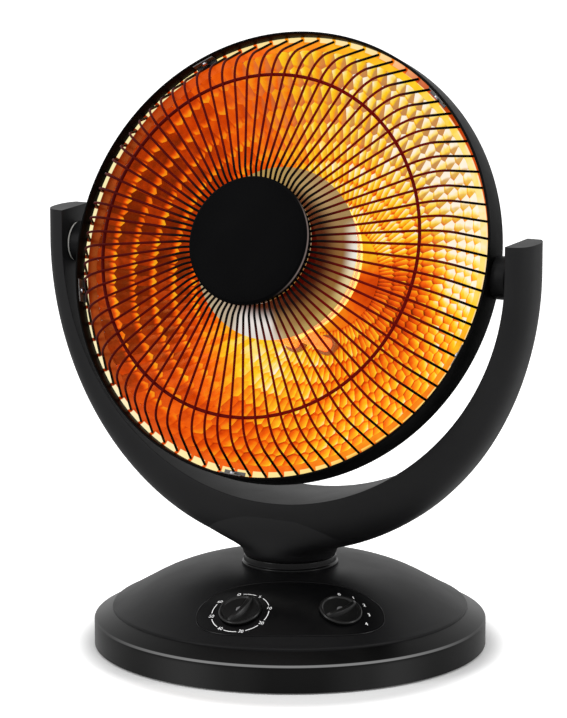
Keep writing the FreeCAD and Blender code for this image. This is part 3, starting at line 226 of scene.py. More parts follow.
# %% Soft boxes
def add_object(name, data):
    """A new object at the origin, in the scene."""
    added = bpy.data.objects.new(name, data)
    scene.collection.objects.link(added)
    return added


def soft_box(name, place, target, width, height, watts):
    """A rectangular studio light aimed at a point."""
    data = bpy.data.lights.new(name, "AREA")
    data.shape = "RECTANGLE"
    data.size = width
    data.size_y = height
    data.energy = watts
    lamp = add_object(name, data)
    lamp.location = place
    lamp.rotation_euler = (Vector(target) - Vector(place)).to_track_quat("-Z", "Y").to_euler()


soft_box("left_box", (-2.1, -1.3, 1.5), (0, 0, 0.2), 0.8, 1.8, 22)
soft_box("right_box", (2.1, -1.0, 1.4), (0, 0, 0.2), 0.7, 1.8, 18)
soft_box("top_box", (0.0, -0.6, 2.6), (0, 0, 0.2), 1.6, 1.2, 16)

# %% [markdown]
# The floor is one plain pale sheet. Near the heater it is ordinary lit paper, so the soft shadow stays.
# Further off, where the lamps fall away, it takes on a little light of its own for the camera, more
# with the distance, so that it ends in the sweep's white instead of in grey.

# %% Floor
NEAR_GLOW = 0.08
FAR_GLOW = 0.9
SHADOW_EDGE = 0.150
WHITE_EDGE = 0.182
SQUEEZE = (1.0, 0.86, 1.0)
floor_mesh = bpy.data.meshes.new("floor")
floor_mesh.from_pydata([(-9, -9, 0), (9, -9, 0), (9, 9, 0), (-9, 9, 0)], [], [(0, 1, 2, 3)])
floor = add_object("floor", floor_mesh)
paper, tree, shader = new_finish("pale_paper")
squeezed = made(tree, "ShaderNodeMapping", Vector=object_coords(tree), Scale=SQUEEZE)
distance = add_node(tree, "ShaderNodeVectorMath", Vector=squeezed)
distance.operation = "LENGTH"
lift = eased(Field(distance.outputs["Value"]), SHADOW_EDGE, WHITE_EDGE)
shade(lift.socket.node, To_Min=NEAR_GLOW, To_Max=FAR_GLOW)
camera_ray = Field(tree.nodes.new("ShaderNodeLightPath").outputs["Is Camera Ray"])
shade(shader, Base_Color=(0.9, 0.9, 0.9, 1), Roughness=1.0, Specular_IOR_Level=0.0, Emission_Color=(1, 1, 1, 1),
      Emission_Strength=camera_ray * lift)
floor_mesh.materials.append(paper)
print("floor glow", NEAR_GLOW, FAR_GLOW)

# %% [markdown]
# Moulded plastic is never one colour: spark-eroded moulds leave a fine grain, and handling polishes it
# unevenly. Each plastic here has a fine bump, a cloudy change of roughness and a slight change of tone.


# %% Plastics
def moulded_plastic(name, dark, light, rough, grain=1800.0, depth=0.00003, specular=0.5, cloud=14.0,
                    polish=40.0, spread=0.05):
    """Moulded plastic that wanders between two tones, with a fine grain."""
    material, tree, shader = new_finish(name)
    shade(shader, Base_Color=ramp(noise(tree, cloud, 3.0), [(0.3, dark), (0.7, light)]),
          Roughness=spread_about(noise(tree, polish), rough, spread), Specular_IOR_Level=specular)
    bumped(shader, noise(tree, grain), depth)
    return material


yoke_black = moulded_plastic("yoke_plastic", (0.006, 0.006, 0.0065), (0.009, 0.009, 0.0095), 0.5, specular=0.2)
satin_black = moulded_plastic("satin_black_plastic", (0.003, 0.003, 0.0033), (0.005, 0.005, 0.0054), 0.42,
                              specular=0.10)
gloss_black = moulded_plastic("gloss_black_plastic", (0.002, 0.002, 0.0022), (0.004, 0.004, 0.0043), 0.24,
                              depth=0.00001, specular=0.16)
panel_black = moulded_plastic("panel_plastic", (0.0015, 0.0015, 0.0017), (0.003, 0.003, 0.0033), 0.3,
                              depth=0.00001, specular=0.1)
knob_black = moulded_plastic("knob_plastic", (0.002, 0.002, 0.002), (0.004, 0.004, 0.004), 0.3,
                             depth=0.00001, specular=0.25)
cap_black = moulded_plastic("cap_plastic", (0.001, 0.001, 0.0012), (0.002, 0.002, 0.0023), 0.45, specular=0.02)
white_nylon = moulded_plastic("white_nylon", (0.66, 0.65, 0.60), (0.74, 0.73, 0.68), 0.5)
grey_plastic = moulded_plastic("switch_plastic", (0.05, 0.05, 0.06), (0.08, 0.08, 0.09), 0.5)
mark_white = moulded_plastic("printed_white", (0.72, 0.72, 0.72), (0.8, 0.8, 0.8), 0.6, grain=3000.0)
# The printed marks also get a painted glow on top of their white.
shade(opened(mark_white)[1], Emission_Color=(1, 1, 1, 1), Emission_Strength=0.4)
black_rubber = moulded_plastic("foot_rubber", (0.012, 0.012, 0.012), (0.02, 0.02, 0.02), 0.8, grain=900.0,
                               depth=0.00008)
pale_ceramic = moulded_plastic("end_cap_ceramic", (0.42, 0.24, 0.11), (0.50, 0.30, 0.15), 0.75, grain=1200.0,
                               depth=0.00006)
print("plastics ready")

# %% [markdown]
# The rim, the wires and the housing are sheet and wire with baked paint. Paint flows before it sets, so
# it has a soft orange peel a couple of millimetres wide rather than a grain.


# %% Paints and metals
def baked_paint(name, dark, light, rough, specular=0.5):
    """Baked paint with a soft orange peel."""
    return moulded_plastic(name, dark, light, rough, 500.0, 0.00004, specular, cloud=30.0, polish=90.0, spread=0.06)


def drawn_metal(name, dark, light, rough, stretch=(900.0, 900.0, 60.0)):
    """Bare metal with the fine lines of drawing or brushing along one axis."""
    material, tree, shader = new_finish(name)
    mapping = add_node(tree, "ShaderNodeMapping", Vector=object_coords(tree), Scale=stretch)
    lines = noise(tree, 1.0, 4.0, mapping.outputs["Vector"])
    shade(shader, Base_Color=ramp(lines, [(0.3, dark), (0.7, light)]), Metallic=1.0,
          Roughness=spread_about(lines, rough, 0.08))
    bumped(shader, lines, 0.00001)
    return material


rim_paint = baked_paint("rim_paint", (0.001, 0.001, 0.001), (0.002, 0.002, 0.002), 0.45, 0.04)
guard_paint = baked_paint("guard_paint", (0.030, 0.0006, 0.0004), (0.050, 0.0012, 0.0006), 0.5, 0.04)
housing_paint = baked_paint("housing_paint", (0.010, 0.010, 0.011), (0.016, 0.016, 0.017), 0.5)
plain_steel = drawn_metal("plain_steel", (0.42, 0.42, 0.44), (0.58, 0.58, 0.60), 0.34)
clip_steel = drawn_metal("clip_steel", (0.07, 0.068, 0.066), (0.12, 0.115, 0.11), 0.5)
screw_steel = drawn_metal("screw_steel", (0.30, 0.30, 0.32), (0.46, 0.46, 0.48), 0.3)
dish_back = drawn_metal("dish_metal", (0.55, 0.54, 0.50), (0.72, 0.70, 0.66), 0.3, (60.0, 60.0, 900.0))
rough_iron = baked_paint("ballast_iron", (0.03, 0.03, 0.03), (0.06, 0.055, 0.05), 0.8)
print("paints and metals ready")

# %% [markdown]
# The head's patterns follow its own axis, which leans and turns. A Mapping node of the kind Texture
# undoes that lean, so that the pattern nodes see the head's own frame: X to its right, Y up the dish and
# Z out of it. From there an angle round the dish and a distance from its axis are two short sums. The
# rim lies a centimetre in front of the tilt axis, so the head has its own middle besides the pivots'.

# %% The head's own frame
YAW = math.radians(-26.5)
LEAN = math.radians(70)
TILT = Matrix.Translation((0, 0, 0.30401)) @ Euler((LEAN, 0, YAW)).to_matrix().to_4x4()
HEAD = TILT @ Matrix.Translation((0, 0, 0.010))
YOKE = Matrix.Rotation(YAW, 4, "Z")


def head_frame(tree):
    """The head's own x, y and z at each point."""
    mapping = add_node(tree, "ShaderNodeMapping", Vector=object_coords(tree), Location=HEAD.translation,
                       Rotation=(LEAN, 0, YAW))
    mapping.vector_type = "TEXTURE"
    return split(tree, mapping.outputs["Vector"])


def turn_and_reach(tree):
    """The turn round the head's axis, 0 to 1 from the left by way of the foot, and the reach from it."""
    x, y = head_frame(tree)[:2]
    turn = calc("ARCTAN2", y, x) * (0.5 / math.pi) + 0.5
    reach = calc("SQRT", x * x + y * y)
    return turn, reach


def grey(stops):
    """Stops of a ramp from plain numbers."""
    return [(place, (value, value, value)) for place, value in stops]


# The colours of the painted glow, from dark red through orange and gold to nearly white.
PAINTED_GLOW_COLOURS = [
    (0.00, (0.030, 0.004, 0.001)),
    (0.18, (0.180, 0.014, 0.001)),
    (0.36, (0.580, 0.042, 0.001)),
    (0.52, (0.880, 0.115, 0.003)),
    (0.66, (0.930, 0.330, 0.008)),
    (0.80, (0.980, 0.640, 0.015)),
    (0.90, (1.000, 0.800, 0.220)),
    (1.00, (1.000, 0.930, 0.760)),
]
print("head axis", [round(v, 3) for v in (HEAD.to_3x3() @ Vector((0, 0, 1)))])

# %% [markdown]
# The guard's dark paint gets a painted glow from the dish, so its wires are painted deep red where the dish is
# bright behind them and nearly black on the left. Their feet are in the painted shade of the rim and their
# inner ends in that of the cap, so both are black.

# %% Guard paint with painted glow and shade
tree, shader = opened(guard_paint)
x = head_frame(tree)[0]
reach = turn_and_reach(tree)[1]
in_shade = eased(reach, 0.150, 0.162) + eased(reach, 0.085, 0.060)
painted_red_glow = ramp(x * 3.0 + 0.5, [
    (0.0, (0.020, 0.0005, 0.0003)), (0.35, (0.050, 0.0006, 0.0003)), (0.65, (0.110, 0.0006, 0.0003)),
    (1.0, (0.070, 0.0006, 0.0003))])
plain_paint = shader.inputs["Base Color"].links[0].from_socket
# Painted red glow where the dish is bright behind a wire, and painted black shade at both ends of it.
shade(shader, Emission_Color=painted_red_glow, Emission_Strength=1.0 - in_shade,
      Base_Color=blend(in_shade, plain_paint, (0.001, 0.001, 0.001, 1)))
print("guard paint warmed")

# %% Painted highlight on the edge of the cap
tree, shader = opened(cap_black)
turn, reach = turn_and_reach(tree)
lit_side = ramp(turn, grey([(0.34, 0.0), (0.44, 1.0), (0.56, 1.0), (0.64, 0.0)]), True)
front_corner = eased(reach, 0.0490, 0.0494) * eased(head_frame(tree)[2], 0.0645, 0.0649)
# A painted highlight along the cap's front corner, on the right side of the head.
shade(shader, Emission_Strength=front_corner * lit_side * 0.2, Emission_Color=(0.8, 0.62, 0.58, 1))
print("cap edge lit")

# %% [markdown]
# The dish is polished and stamped with scale-like facets, each of which mirrors the glowing tube. That
# reflection is painted on as a glow: one facet runs from a dark end to a bright end, and the whole dish is
# painted from ember on its left through orange and gold to nearly white on its right. The facets carry a
# map of their own: where a point lies between a facet's sides, and how far in it lies from the facet's outer
# end. On the left each facet has one painted bright spot at its inner end; on the right each is painted
# slanted light with a darker strip.

# %% Glow of the dish
def dish_heat(tree):
    """How bright the dish's painted reflection of the tube is: by the turn near its mouth, by the turn near its
    middle, and between.
    """
    turn, reach = turn_and_reach(tree)
    outer_glow = ramp(turn, grey([
        (0.00, 0.18), (0.08, 0.22), (0.17, 0.44), (0.25, 0.56), (0.33, 0.66), (0.40, 0.62), (0.45, 0.74),
        (0.49, 0.90), (0.53, 0.98), (0.58, 0.95), (0.64, 0.86), (0.71, 0.78), (0.76, 0.68), (0.83, 0.46),
        (0.92, 0.24), (1.00, 0.18)]), True)
    inner_glow = ramp(turn, grey([
        (0.00, 0.30), (0.05, 0.38), (0.10, 0.68), (0.14, 0.84), (0.20, 0.86), (0.25, 0.74), (0.31, 0.62),
        (0.38, 0.56), (0.44, 0.42), (0.50, 0.44), (0.54, 0.60), (0.58, 0.78), (0.67, 0.80), (0.74, 0.82),
        (0.79, 0.76), (0.83, 0.60), (0.86, 0.46), (0.92, 0.38), (1.00, 0.30)]), True)
    outward = eased(reach, 0.080, 0.135)
    return made(tree, "ShaderNodeMix", Factor=outward, A=inner_glow, B=outer_glow)


print("dish heat ready")

# %% Glow of the facets
facet_glow, tree, shader = new_finish("facet_glow")
turn, reach = turn_and_reach(tree)
brightness = dish_heat(tree)
cell_map = tree.nodes.new("ShaderNodeUVMap")
cell_map.uv_map = "cell"
across, inward = split(tree, cell_map.outputs["UV"])[:2]
leftness = ramp(turn, grey([(0.0, 1.0), (0.14, 0.95), (0.22, 0.35), (0.28, 0.0), (0.70, 0.0), (0.77, 0.25),
                            (0.86, 0.9), (1.0, 1.0)]), True)
# Painted reflections on each facet: a bright spot at its inner end on the left, slanted light and a darker strip
# elsewhere.
spot = eased(inward, 0.20, 0.85) * (1.0 - eased(calc("ABSOLUTE", across), 0.6, 1.0))
room = calc("MAXIMUM", 0.64 - brightness, 0.0)
slant = across * 0.7 + inward * -0.5
plain_side = 1.0 - leftness
strip = eased(inward, 0.55, 0.75) * plain_side
tone_node = add_node(tree, "ShaderNodeAttribute")
tone_node.attribute_name = "tone"
tone = Field(tone_node.outputs["Fac"])
ripple = noise(tree, 160.0, 3.0) * 0.22 - 0.11
shaded = brightness + spot * leftness * room + slant * plain_side * 0.22 + strip * -0.10 + (tone * 0.14 - 0.07) + ripple
# A painted duller reflection on the darker side of each facet, over the right and the top of the dish.
painted_dull_side = ramp(turn, grey([(0.48, 0.0), (0.56, 0.40), (0.62, 0.95), (0.70, 0.9), (0.78, 0.40), (0.86, 0.0)]), True)
painted_dull_side = painted_dull_side * eased(slant, 0.0, -0.35) * eased(reach, 0.080, 0.120)
shade(shader, Emission_Color=blend(painted_dull_side, ramp(shaded, PAINTED_GLOW_COLOURS), (0.50, 0.26, 0.085, 1)), Emission_Strength=0.95,
      Base_Color=(0.10, 0.03, 0.006, 1), Metallic=1.0, Roughness=tone * 0.1 + 0.2)
print("facet glow ready")

# %% [markdown]
# Many pieces are turned: the rim, the cap, the base. A turned piece is an outline of corners (radius,
# height, rounding) spun about an axis. Rounding each corner with a small arc is what makes a moulded
# edge catch the light.


# %% Helpers for shapes
SHARP_EDGE = 38.0


def rounded(corners, steps=5):
    """A closed outline with its corners rounded by their own radii. Corners are (x, y, radius)."""
    points = []
    count = len(corners)
    for i, (x, y, radius) in enumerate(corners):
        corner = Vector((x, y))
        back = (Vector(corners[i - 1][:2]) - corner).normalized()
        on = (Vector(corners[(i + 1) % count][:2]) - corner).normalized()
        half = back.angle(on) / 2
        if radius == 0 or half < 0.01 or half > math.pi / 2 - 0.01:
            points.append(corner)
            continue
        cut = radius / math.tan(half)
        middle = corner + (back + on).normalized() * (radius / math.sin(half))
        start = corner + back * cut - middle
        end = corner + on * cut - middle
        sweep = start.angle_signed(end)
        for k in range(steps + 1):
            turned = Matrix.Rotation(-sweep * k / steps, 2) @ start
            points.append(middle + turned)
    return points


def finish_mesh(mesh, material, place, sharp, body, slot, *nodes):
    """Cleans a mesh, puts its place into it and makes an object at the origin, which rides on its body and
    hides the solids that it stands for. Its slot is not used."""
    tidy = bmesh.new()
    tidy.from_mesh(mesh)
    bmesh.ops.remove_doubles(tidy, verts=tidy.verts, dist=1e-6)
    bmesh.ops.dissolve_degenerate(tidy, edges=tidy.edges, dist=1e-7)
    bmesh.ops.recalc_face_normals(tidy, faces=tidy.faces)
    tidy.to_mesh(mesh)
    tidy.free()
    mesh.transform(place)
    mesh.materials.append(material)
    mesh.polygons.foreach_set("use_smooth", [True] * len(mesh.polygons))
    mesh.set_sharp_from_angle(angle=math.radians(sharp))
    place_piece(mesh.name, mesh, body, slot, *nodes)


def place_piece(name, mesh, body, slot, *nodes):
    """Makes a finished mesh a piece of the heater."""
    piece = add_object(name, mesh)
    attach(piece, body)
    if nodes:
        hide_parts(*nodes)
    print(f"{name}: {len(mesh.polygons)} faces")


def new_mesh(name, verts, faces):
    mesh = bpy.data.meshes.new(name)
    mesh.from_pydata(verts, [], faces)
    return mesh


def ring_faces(rings, width, start=0, closed=False, caps=False):
    """Four-sided faces between rings of points, and a flat cap at each end if asked for."""
    faces = []
    for i in range(rings if closed else rings - 1):
        j = (i + 1) % rings
        for k in range(width):
            m = (k + 1) % width
            faces.append(tuple(start + v for v in (i * width + k, i * width + m, j * width + m, j * width + k)))
    if caps:
        faces += [tuple(start + end * width + k for k in range(width)) for end in (0, rings - 1)]
    return faces


def turned_mesh(outline, steps):
    """A closed outline of points (radius, height) in millimetres, spun about Z."""
    verts = []
    for k in range(steps):
        angle = 2 * math.pi * k / steps
        verts += [(p[0] * MM * math.cos(angle), p[0] * MM * math.sin(angle), p[1] * MM) for p in outline]
    count = len(outline)
    on_axis = [outline[i][0] == 0 and outline[(i + 1) % count][0] == 0 for i in range(count)]
    faces = [face for i, face in enumerate(ring_faces(steps, count, closed=True)) if not on_axis[i % count]]
    return verts, faces


def turned_piece(name, corners, material, dressing, place=Matrix(), steps=128):
    """A turned piece; its dressing is the body, the slot and the solids that it stands for."""
    finish_mesh(new_mesh(name, *turned_mesh(rounded(corners), steps)), material, place, SHARP_EDGE, *dressing)


print("shape helpers ready")

# %% [markdown]
# The base is a low plinth with a domed cover and a collar round the swivel neck. On the real one the
# plinth's upper edge has a small radius that shows as a bright line, and the dome ends in a rolled edge
# that stands a little proud of the plinth. Both are roundings of the outlines here, and the plinth's bright
# line is painted on as well, with painted highlight bands down its side.

# %% Base
SLOPE = math.radians(30)
CREASE_RADIUS = 138.6
CREASE_HEIGHT = 31.0
SHOULDER = 112.0
PLATEAU = 45.0
DOME_WALL = 3.0
DOME_FOOT = 28.6
DOME_ARC = (SHOULDER - PLATEAU) / math.sin(SLOPE)
SHOULDER_HEIGHT = CREASE_HEIGHT + (CREASE_RADIUS - SHOULDER) * math.tan(SLOPE)
PLATEAU_HEIGHT = SHOULDER_HEIGHT + DOME_ARC * (1 - math.cos(SLOPE))


def dome_height(radius):
    """The height of the dome's skin at a radius, in millimetres."""
    if radius >= SHOULDER:
        return CREASE_HEIGHT + (CREASE_RADIUS - radius) * math.tan(SLOPE)
    if radius <= PLATEAU:
        return PLATEAU_HEIGHT
    return PLATEAU_HEIGHT - DOME_ARC + math.sqrt(DOME_ARC ** 2 - (radius - PLATEAU) ** 2)


dome_skin = [(20.0, PLATEAU_HEIGHT, 0)]
dome_skin += [(r, dome_height(r), 0) for r in range(45, 137, 2)]
dome_corners = dome_skin + [
    (CREASE_RADIUS + 0.2, CREASE_HEIGHT + 0.3, 2.2),
    (CREASE_RADIUS + 0.2, DOME_FOOT, 0),
    (133.0, DOME_FOOT, 0),
]
dome_corners += [(r, dome_height(r) - DOME_WALL, 0) for r in (130, 112, 90, 68, 45, 20)]
turned_piece("dome_cover", dome_corners, satin_black, ("base", "black_satin_plastic", "base_dome"), steps=192)
plinth_painted_sheen, tree, shader = new_finish("plinth_painted_sheen")
x, y, z = split(tree, object_coords(tree))
reach = calc("SQRT", x * x + y * y)
# Painted highlight bands down the plinth's side and a painted bright line along its upper edge, strongest at the
# front.
sideways = x * (0.5 / 0.153) + 0.5
sheen = ramp(sideways, grey([(0.0, 0.004), (0.10, 0.006), (0.24, 0.024), (0.36, 0.010), (0.46, 0.003),
                             (0.56, 0.003), (0.68, 0.012), (0.76, 0.022), (0.88, 0.006), (1.0, 0.003)]), True)
sheen = sheen * (1.0 - eased(z, 0.018, 0.022))
painted_edge_line = eased(reach, 0.1514, 0.1520) * eased(z, 0.0207, 0.0212)
frontal = eased(y, -0.05, -0.15) * 0.19 + 0.02
shade(shader, Emission_Strength=painted_edge_line * frontal + sheen, Emission_Color=(1, 1, 1, 1),
      Base_Color=ramp(noise(tree, 14.0, 3.0), grey([(0.3, 0.001), (0.7, 0.002)])), Roughness=0.3,
      Specular_IOR_Level=0.09)
bumped(shader, noise(tree, 1800.0), 0.00001)
turned_piece("plinth_ring", [
    (153.0, 1.0, 0.8), (153.0, 21.8, 1.6), (138.8, 29.6, 0), (133.5, 28.4, 0), (133.5, 26.0, 0),
    (138.0, 26.0, 0), (150.5, 18.6, 0), (150.5, 1.0, 0.8)], plinth_painted_sheen,
    ("base", "black_gloss_plastic", "base_plinth"), steps=192)
turned_piece("neck_ring", [
    (20.0, PLATEAU_HEIGHT - 0.5, 0), (37.6, PLATEAU_HEIGHT - 0.5, 0), (37.6, PLATEAU_HEIGHT + 1.8, 1.2),
    (36.2, PLATEAU_HEIGHT + 3.0, 0.6), (36.0, PLATEAU_HEIGHT + 7.5, 1.0), (20.0, PLATEAU_HEIGHT + 7.5, 0)],
    gloss_black, ("base", "black_gloss_plastic", "neck_collar"))

# %% [markdown]
# The control panel is a flush oval that follows the dome. It is made as rings of points drawn on a flat
# oval, each dropped straight onto the dome's skin, so it can never stand off it. A thin bead round its
# edge gives the faint line that shows at the oval's tips.

# %% Control panel
PANEL_REACH = 93.0
PANEL_HALF_WIDTH = 71.0
PANEL_HALF_HEIGHT = 34.5
PANEL_POWER = 0.92


def on_slope(reach, azimuth):
    """A frame on the dome's skin: Z out of it, Y up it and X level to the right. Millimetres."""
    lean = math.asin((reach - PLATEAU) / DOME_ARC)
    turn = Matrix.Rotation(math.radians(azimuth), 4, "Z") @ Matrix.Rotation(lean, 4, "X")
    angle = math.radians(azimuth)
    place = Vector((reach * math.sin(angle), -reach * math.cos(angle), dome_height(reach)))
    return Matrix.Translation(place) @ turn


def on_dome(x, y, frame_place, lift):
    """A point of a slope frame's plane, dropped onto the dome and lifted a little. Metres."""
    flat = frame_place @ Vector((x, y, 0))
    height = dome_height(math.hypot(flat.x, flat.y))
    return Vector((flat.x, flat.y, height + lift)) * MM


def squared(value, power):
    """A power that keeps the sign, which turns an ellipse into a squarer oval."""
    return math.copysign(abs(value) ** power, value)


def oval_point(angle, scale):
    """A point of the panel's oval."""
    return (PANEL_HALF_WIDTH * scale * squared(math.cos(angle), PANEL_POWER),
            PANEL_HALF_HEIGHT * scale * squared(math.sin(angle), PANEL_POWER))


panel_frame = on_slope(PANEL_REACH, 0)
RINGS = 14
SPOKES = 160
panel_verts = []
panel_faces = []
for lift in (0.35, -0.9):
    for ring in range(1, RINGS + 1):
        for k in range(SPOKES):
            px, py = oval_point(2 * math.pi * k / SPOKES, ring / RINGS)
            panel_verts.append(on_dome(px, py, panel_frame, lift))
    panel_verts.append(on_dome(0, 0, panel_frame, lift))
layer = RINGS * SPOKES + 1
for top in (0, layer):
    panel_faces += ring_faces(RINGS, SPOKES, top)
    panel_faces += [(top + layer - 1, top + k, top + (k + 1) % SPOKES) for k in range(SPOKES)]
edge = (RINGS - 1) * SPOKES
for k in range(SPOKES):
    a, b = edge + k, edge + (k + 1) % SPOKES
    panel_faces.append((a, b, b + layer, a + layer))
finish_mesh(new_mesh("panel_face", panel_verts, panel_faces), panel_black, Matrix(), SHARP_EDGE,
            "base", "panel_plastic", "control_panel")

# %% Bead round the panel
BEAD_SIDES = 8
BEAD_RADIUS = 0.55
bead_points = [on_dome(*oval_point(2 * math.pi * k / SPOKES, 1.006), panel_frame, 0.1) for k in range(SPOKES)]
bead_verts = []
for i, point in enumerate(bead_points):
    heading = (bead_points[(i + 1) % SPOKES] - bead_points[i - 1]).normalized()
    sideways = heading.cross(Vector((0, 0, 1))).normalized()
    up = sideways.cross(heading)
    for k in range(BEAD_SIDES):
        angle = 2 * math.pi * k / BEAD_SIDES
        bead_verts.append(point + (sideways * math.cos(angle) + up * math.sin(angle)) * BEAD_RADIUS * MM)
bead_faces = ring_faces(SPOKES, BEAD_SIDES, closed=True)
finish_mesh(new_mesh("panel_bead", bead_verts, bead_faces), gloss_black, Matrix(), SHARP_EDGE,
            "base", "black_gloss_plastic")

# %% [markdown]
# Each knob is a low dished disc with a curved blade across it to grip. The blade is a run of sections
# along an arc from one side of the disc to the other; its two upper edges are thin, so they catch a
# line of light.

# %% Knobs
KNOB_REACH = 105.0
KNOB_AZIMUTH = 21.2
KNOB_RADIUS = 16.5
KNOB_TOP = 3.4
BLADE_RISE = 2.4


def knob_piece(name, node, azimuth, pointer):
    """A disc and a blade, in the slope's frame, turned clockwise by the pointer's angle."""
    outline = rounded([
        (0, 0.8, 0), (KNOB_RADIUS, 0.8, 0.3), (KNOB_RADIUS, KNOB_TOP - 0.8, 0.3),
        (KNOB_RADIUS - 0.8, KNOB_TOP, 0.4), (KNOB_RADIUS - 1.8, KNOB_TOP, 0.4),
        (KNOB_RADIUS - 3.0, KNOB_TOP - 0.9, 0.6), (0, KNOB_TOP - 1.2, 0)])
    verts, faces = turned_mesh(outline, 96)
    ends = 15.0
    bow = 2.6
    stations = 24
    section = [(-3.4, KNOB_TOP - 2.0), (-2.0, KNOB_TOP + BLADE_RISE - 0.6), (-1.4, KNOB_TOP + BLADE_RISE),
               (1.4, KNOB_TOP + BLADE_RISE), (2.0, KNOB_TOP + BLADE_RISE - 0.6), (3.4, KNOB_TOP - 2.0)]
    start = len(verts)
    for i in range(stations + 1):
        share = 2 * i / stations - 1
        y = ends * share
        drop = BLADE_RISE * 0.8 * abs(share) ** 6
        slim = 1 - 0.25 * abs(share) ** 2
        for sx, sz in section:
            height = sz - drop if sz > KNOB_TOP else sz
            verts.append(((sx * slim + bow * (1 - share * share)) * MM, y * MM, height * MM))
    faces += ring_faces(stations + 1, len(section), start, caps=True)
    slope = on_slope(KNOB_REACH, azimuth)
    slope.translation *= MM
    place = slope @ Matrix.Translation((0, 0, -0.0006)) @ Matrix.Rotation(math.radians(-pointer), 4, "Z")
    finish_mesh(new_mesh(name, verts, faces), knob_black, place, 30.0, node, "knob_plastic", node)


knob_piece("timer_grip", "timer_knob", -KNOB_AZIMUTH, 16)
knob_piece("selector_grip", "selector_knob", KNOB_AZIMUTH, 66)

# %% [markdown]
# The printed marks are a ring of arcs and plain numbers round the timer, and plain numbers beside the
# selector. A number is made as text and turned into a flat mesh, and each point of that mesh is dropped
# onto the dome just above the panel, as ink lies.

# %% Printed marks
MARK_RADIUS = 22.2
INK_LIFT = 0.5
HALF_STROKE = 0.28


def frozen(holder):
    """The mesh that an object's curve or tree makes. The object itself is used up."""
    bpy.context.view_layer.update()
    mesh = bpy.data.meshes.new_from_object(holder.evaluated_get(bpy.context.evaluated_depsgraph_get()))
    bpy.data.objects.remove(holder)
    return mesh


def lettering(text, size):
    """The flat mesh of a short text, centred on the origin, as points and faces. Millimetres."""
    data = bpy.data.curves.new("lettering", "FONT")
    data.body = text
    data.size = size
    data.align_x = "CENTER"
    data.align_y = "CENTER"
    flat = frozen(add_object("lettering", data))
    points = [v.co.copy() for v in flat.vertices]
    faces = [tuple(p.vertices) for p in flat.polygons]
    bpy.data.meshes.remove(flat)
    bpy.data.curves.remove(data)
    return points, faces


def printed(name, slope, texts, arcs):
    """Texts of (clockwise angle, word, size) and arcs between pairs of angles, laid on the dome."""
    verts = []
    faces = []
    for angle, text, size in texts:
        turn = math.radians(angle)
        centre = Vector((MARK_RADIUS * math.sin(turn), MARK_RADIUS * math.cos(turn), 0))
        points, text_faces = lettering(text, size)
        start = len(verts)
        verts += [on_dome(p.x + centre.x, p.y + centre.y, slope, INK_LIFT) for p in points]
        faces += [tuple(start + i for i in face) for face in text_faces]
    for begin, end in arcs:
        start = len(verts)
        steps = 10
        for k in range(steps + 1):
            turn = math.radians(begin + (end - begin) * k / steps)
            for radius in (MARK_RADIUS - HALF_STROKE, MARK_RADIUS + HALF_STROKE):
                verts.append(on_dome(radius * math.sin(turn), radius * math.cos(turn), slope, INK_LIFT))
        for k in range(steps):
            a = start + 2 * k
            faces.append((a, a + 1, a + 3, a + 2))
    finish_mesh(new_mesh(name, verts, faces), mark_white, Matrix(), SHARP_EDGE, "base", "panel_plastic")


timer_angles = [-22 + 45.4 * i for i in range(8)]
timer_words = ["0", "5", "10", "20", "30", "40", "50", "60"]
timer_texts = [(a, w, 5.6 if w == "0" else 4.2) for a, w in zip(timer_angles, timer_words)]
timer_arcs = [(a + 9, b - 9) for a, b in zip(timer_angles, timer_angles[1:])]
printed("timer_print", on_slope(KNOB_REACH, -KNOB_AZIMUTH), timer_texts, timer_arcs)
selector_texts = [(a, str(i), 4.6) for i, a in enumerate([17.5, 46.8, 76.1, 105.4, 134.7])]
printed("selector_print", on_slope(KNOB_REACH, KNOB_AZIMUTH), selector_texts, [])

# %% [markdown]
# The yoke is a hollow moulding bent into a U. Its section has a flat inside, a sharp ridge at the front
# of it and a full, rounded front and outside; towards the foot the section grows deeper and squarer
# until it stands on the round neck. A loft of many sections along the U follows that rule exactly.

# %% Yoke
YOKE_INSIDE = 189.0
ARC_CENTRE = 308.01
ARM_RISE = 24.5
ARM_THICK = 17.5
FOOT_THICK = 42.0
ARM_HALF = 22.0
FOOT_HALF = 37.0
BACK_CUT = 0.35
BACK_INSET = 0.6


def between(arm, foot, angle, power):
    """A size that goes from an arm's value to the foot's, at an angle from straight down."""
    return arm + (foot - arm) * max(0.0, math.cos(angle)) ** power


def yoke_thickness(angle):
    return between(ARM_THICK, FOOT_THICK, angle, 2.2)


def yoke_half_depth(angle):
    return between(ARM_HALF, FOOT_HALF, angle, 2)


def yoke_point(angle, rise, outward, back):
    """A point of the yoke in its own upright frame. Millimetres in, metres out."""
    reach = YOKE_INSIDE + outward
    return Vector((reach * math.sin(angle), back, ARC_CENTRE + rise - reach * math.cos(angle))) * MM


def yoke_section(angle):
    """Corners (outward, back, rounding) of a section, from the front ridge round to the back."""
    thick = yoke_thickness(angle)
    half = yoke_half_depth(angle)
    square = between(2.6, 3.2, angle, 8)
    front = []
    for k in range(1, 22):
        turn = math.pi / 2 * k / 21
        front.append((thick * math.sin(turn) ** (2 / square), -half * math.cos(turn) ** (2 / square), 0))
    tail = [(thick * 0.995, half * 0.2, 0), (thick * 0.97, half * 0.38, 0), (thick * 0.92, half * 0.55, 0),
            (thick * 0.83, half * 0.76, 0), (thick * (1 - BACK_CUT), half - BACK_INSET, 1.5),
            (0, half - BACK_INSET, 1.2)]
    ridge = [(0, -half, 0.5)]
    return rounded(ridge + front + tail, 3)


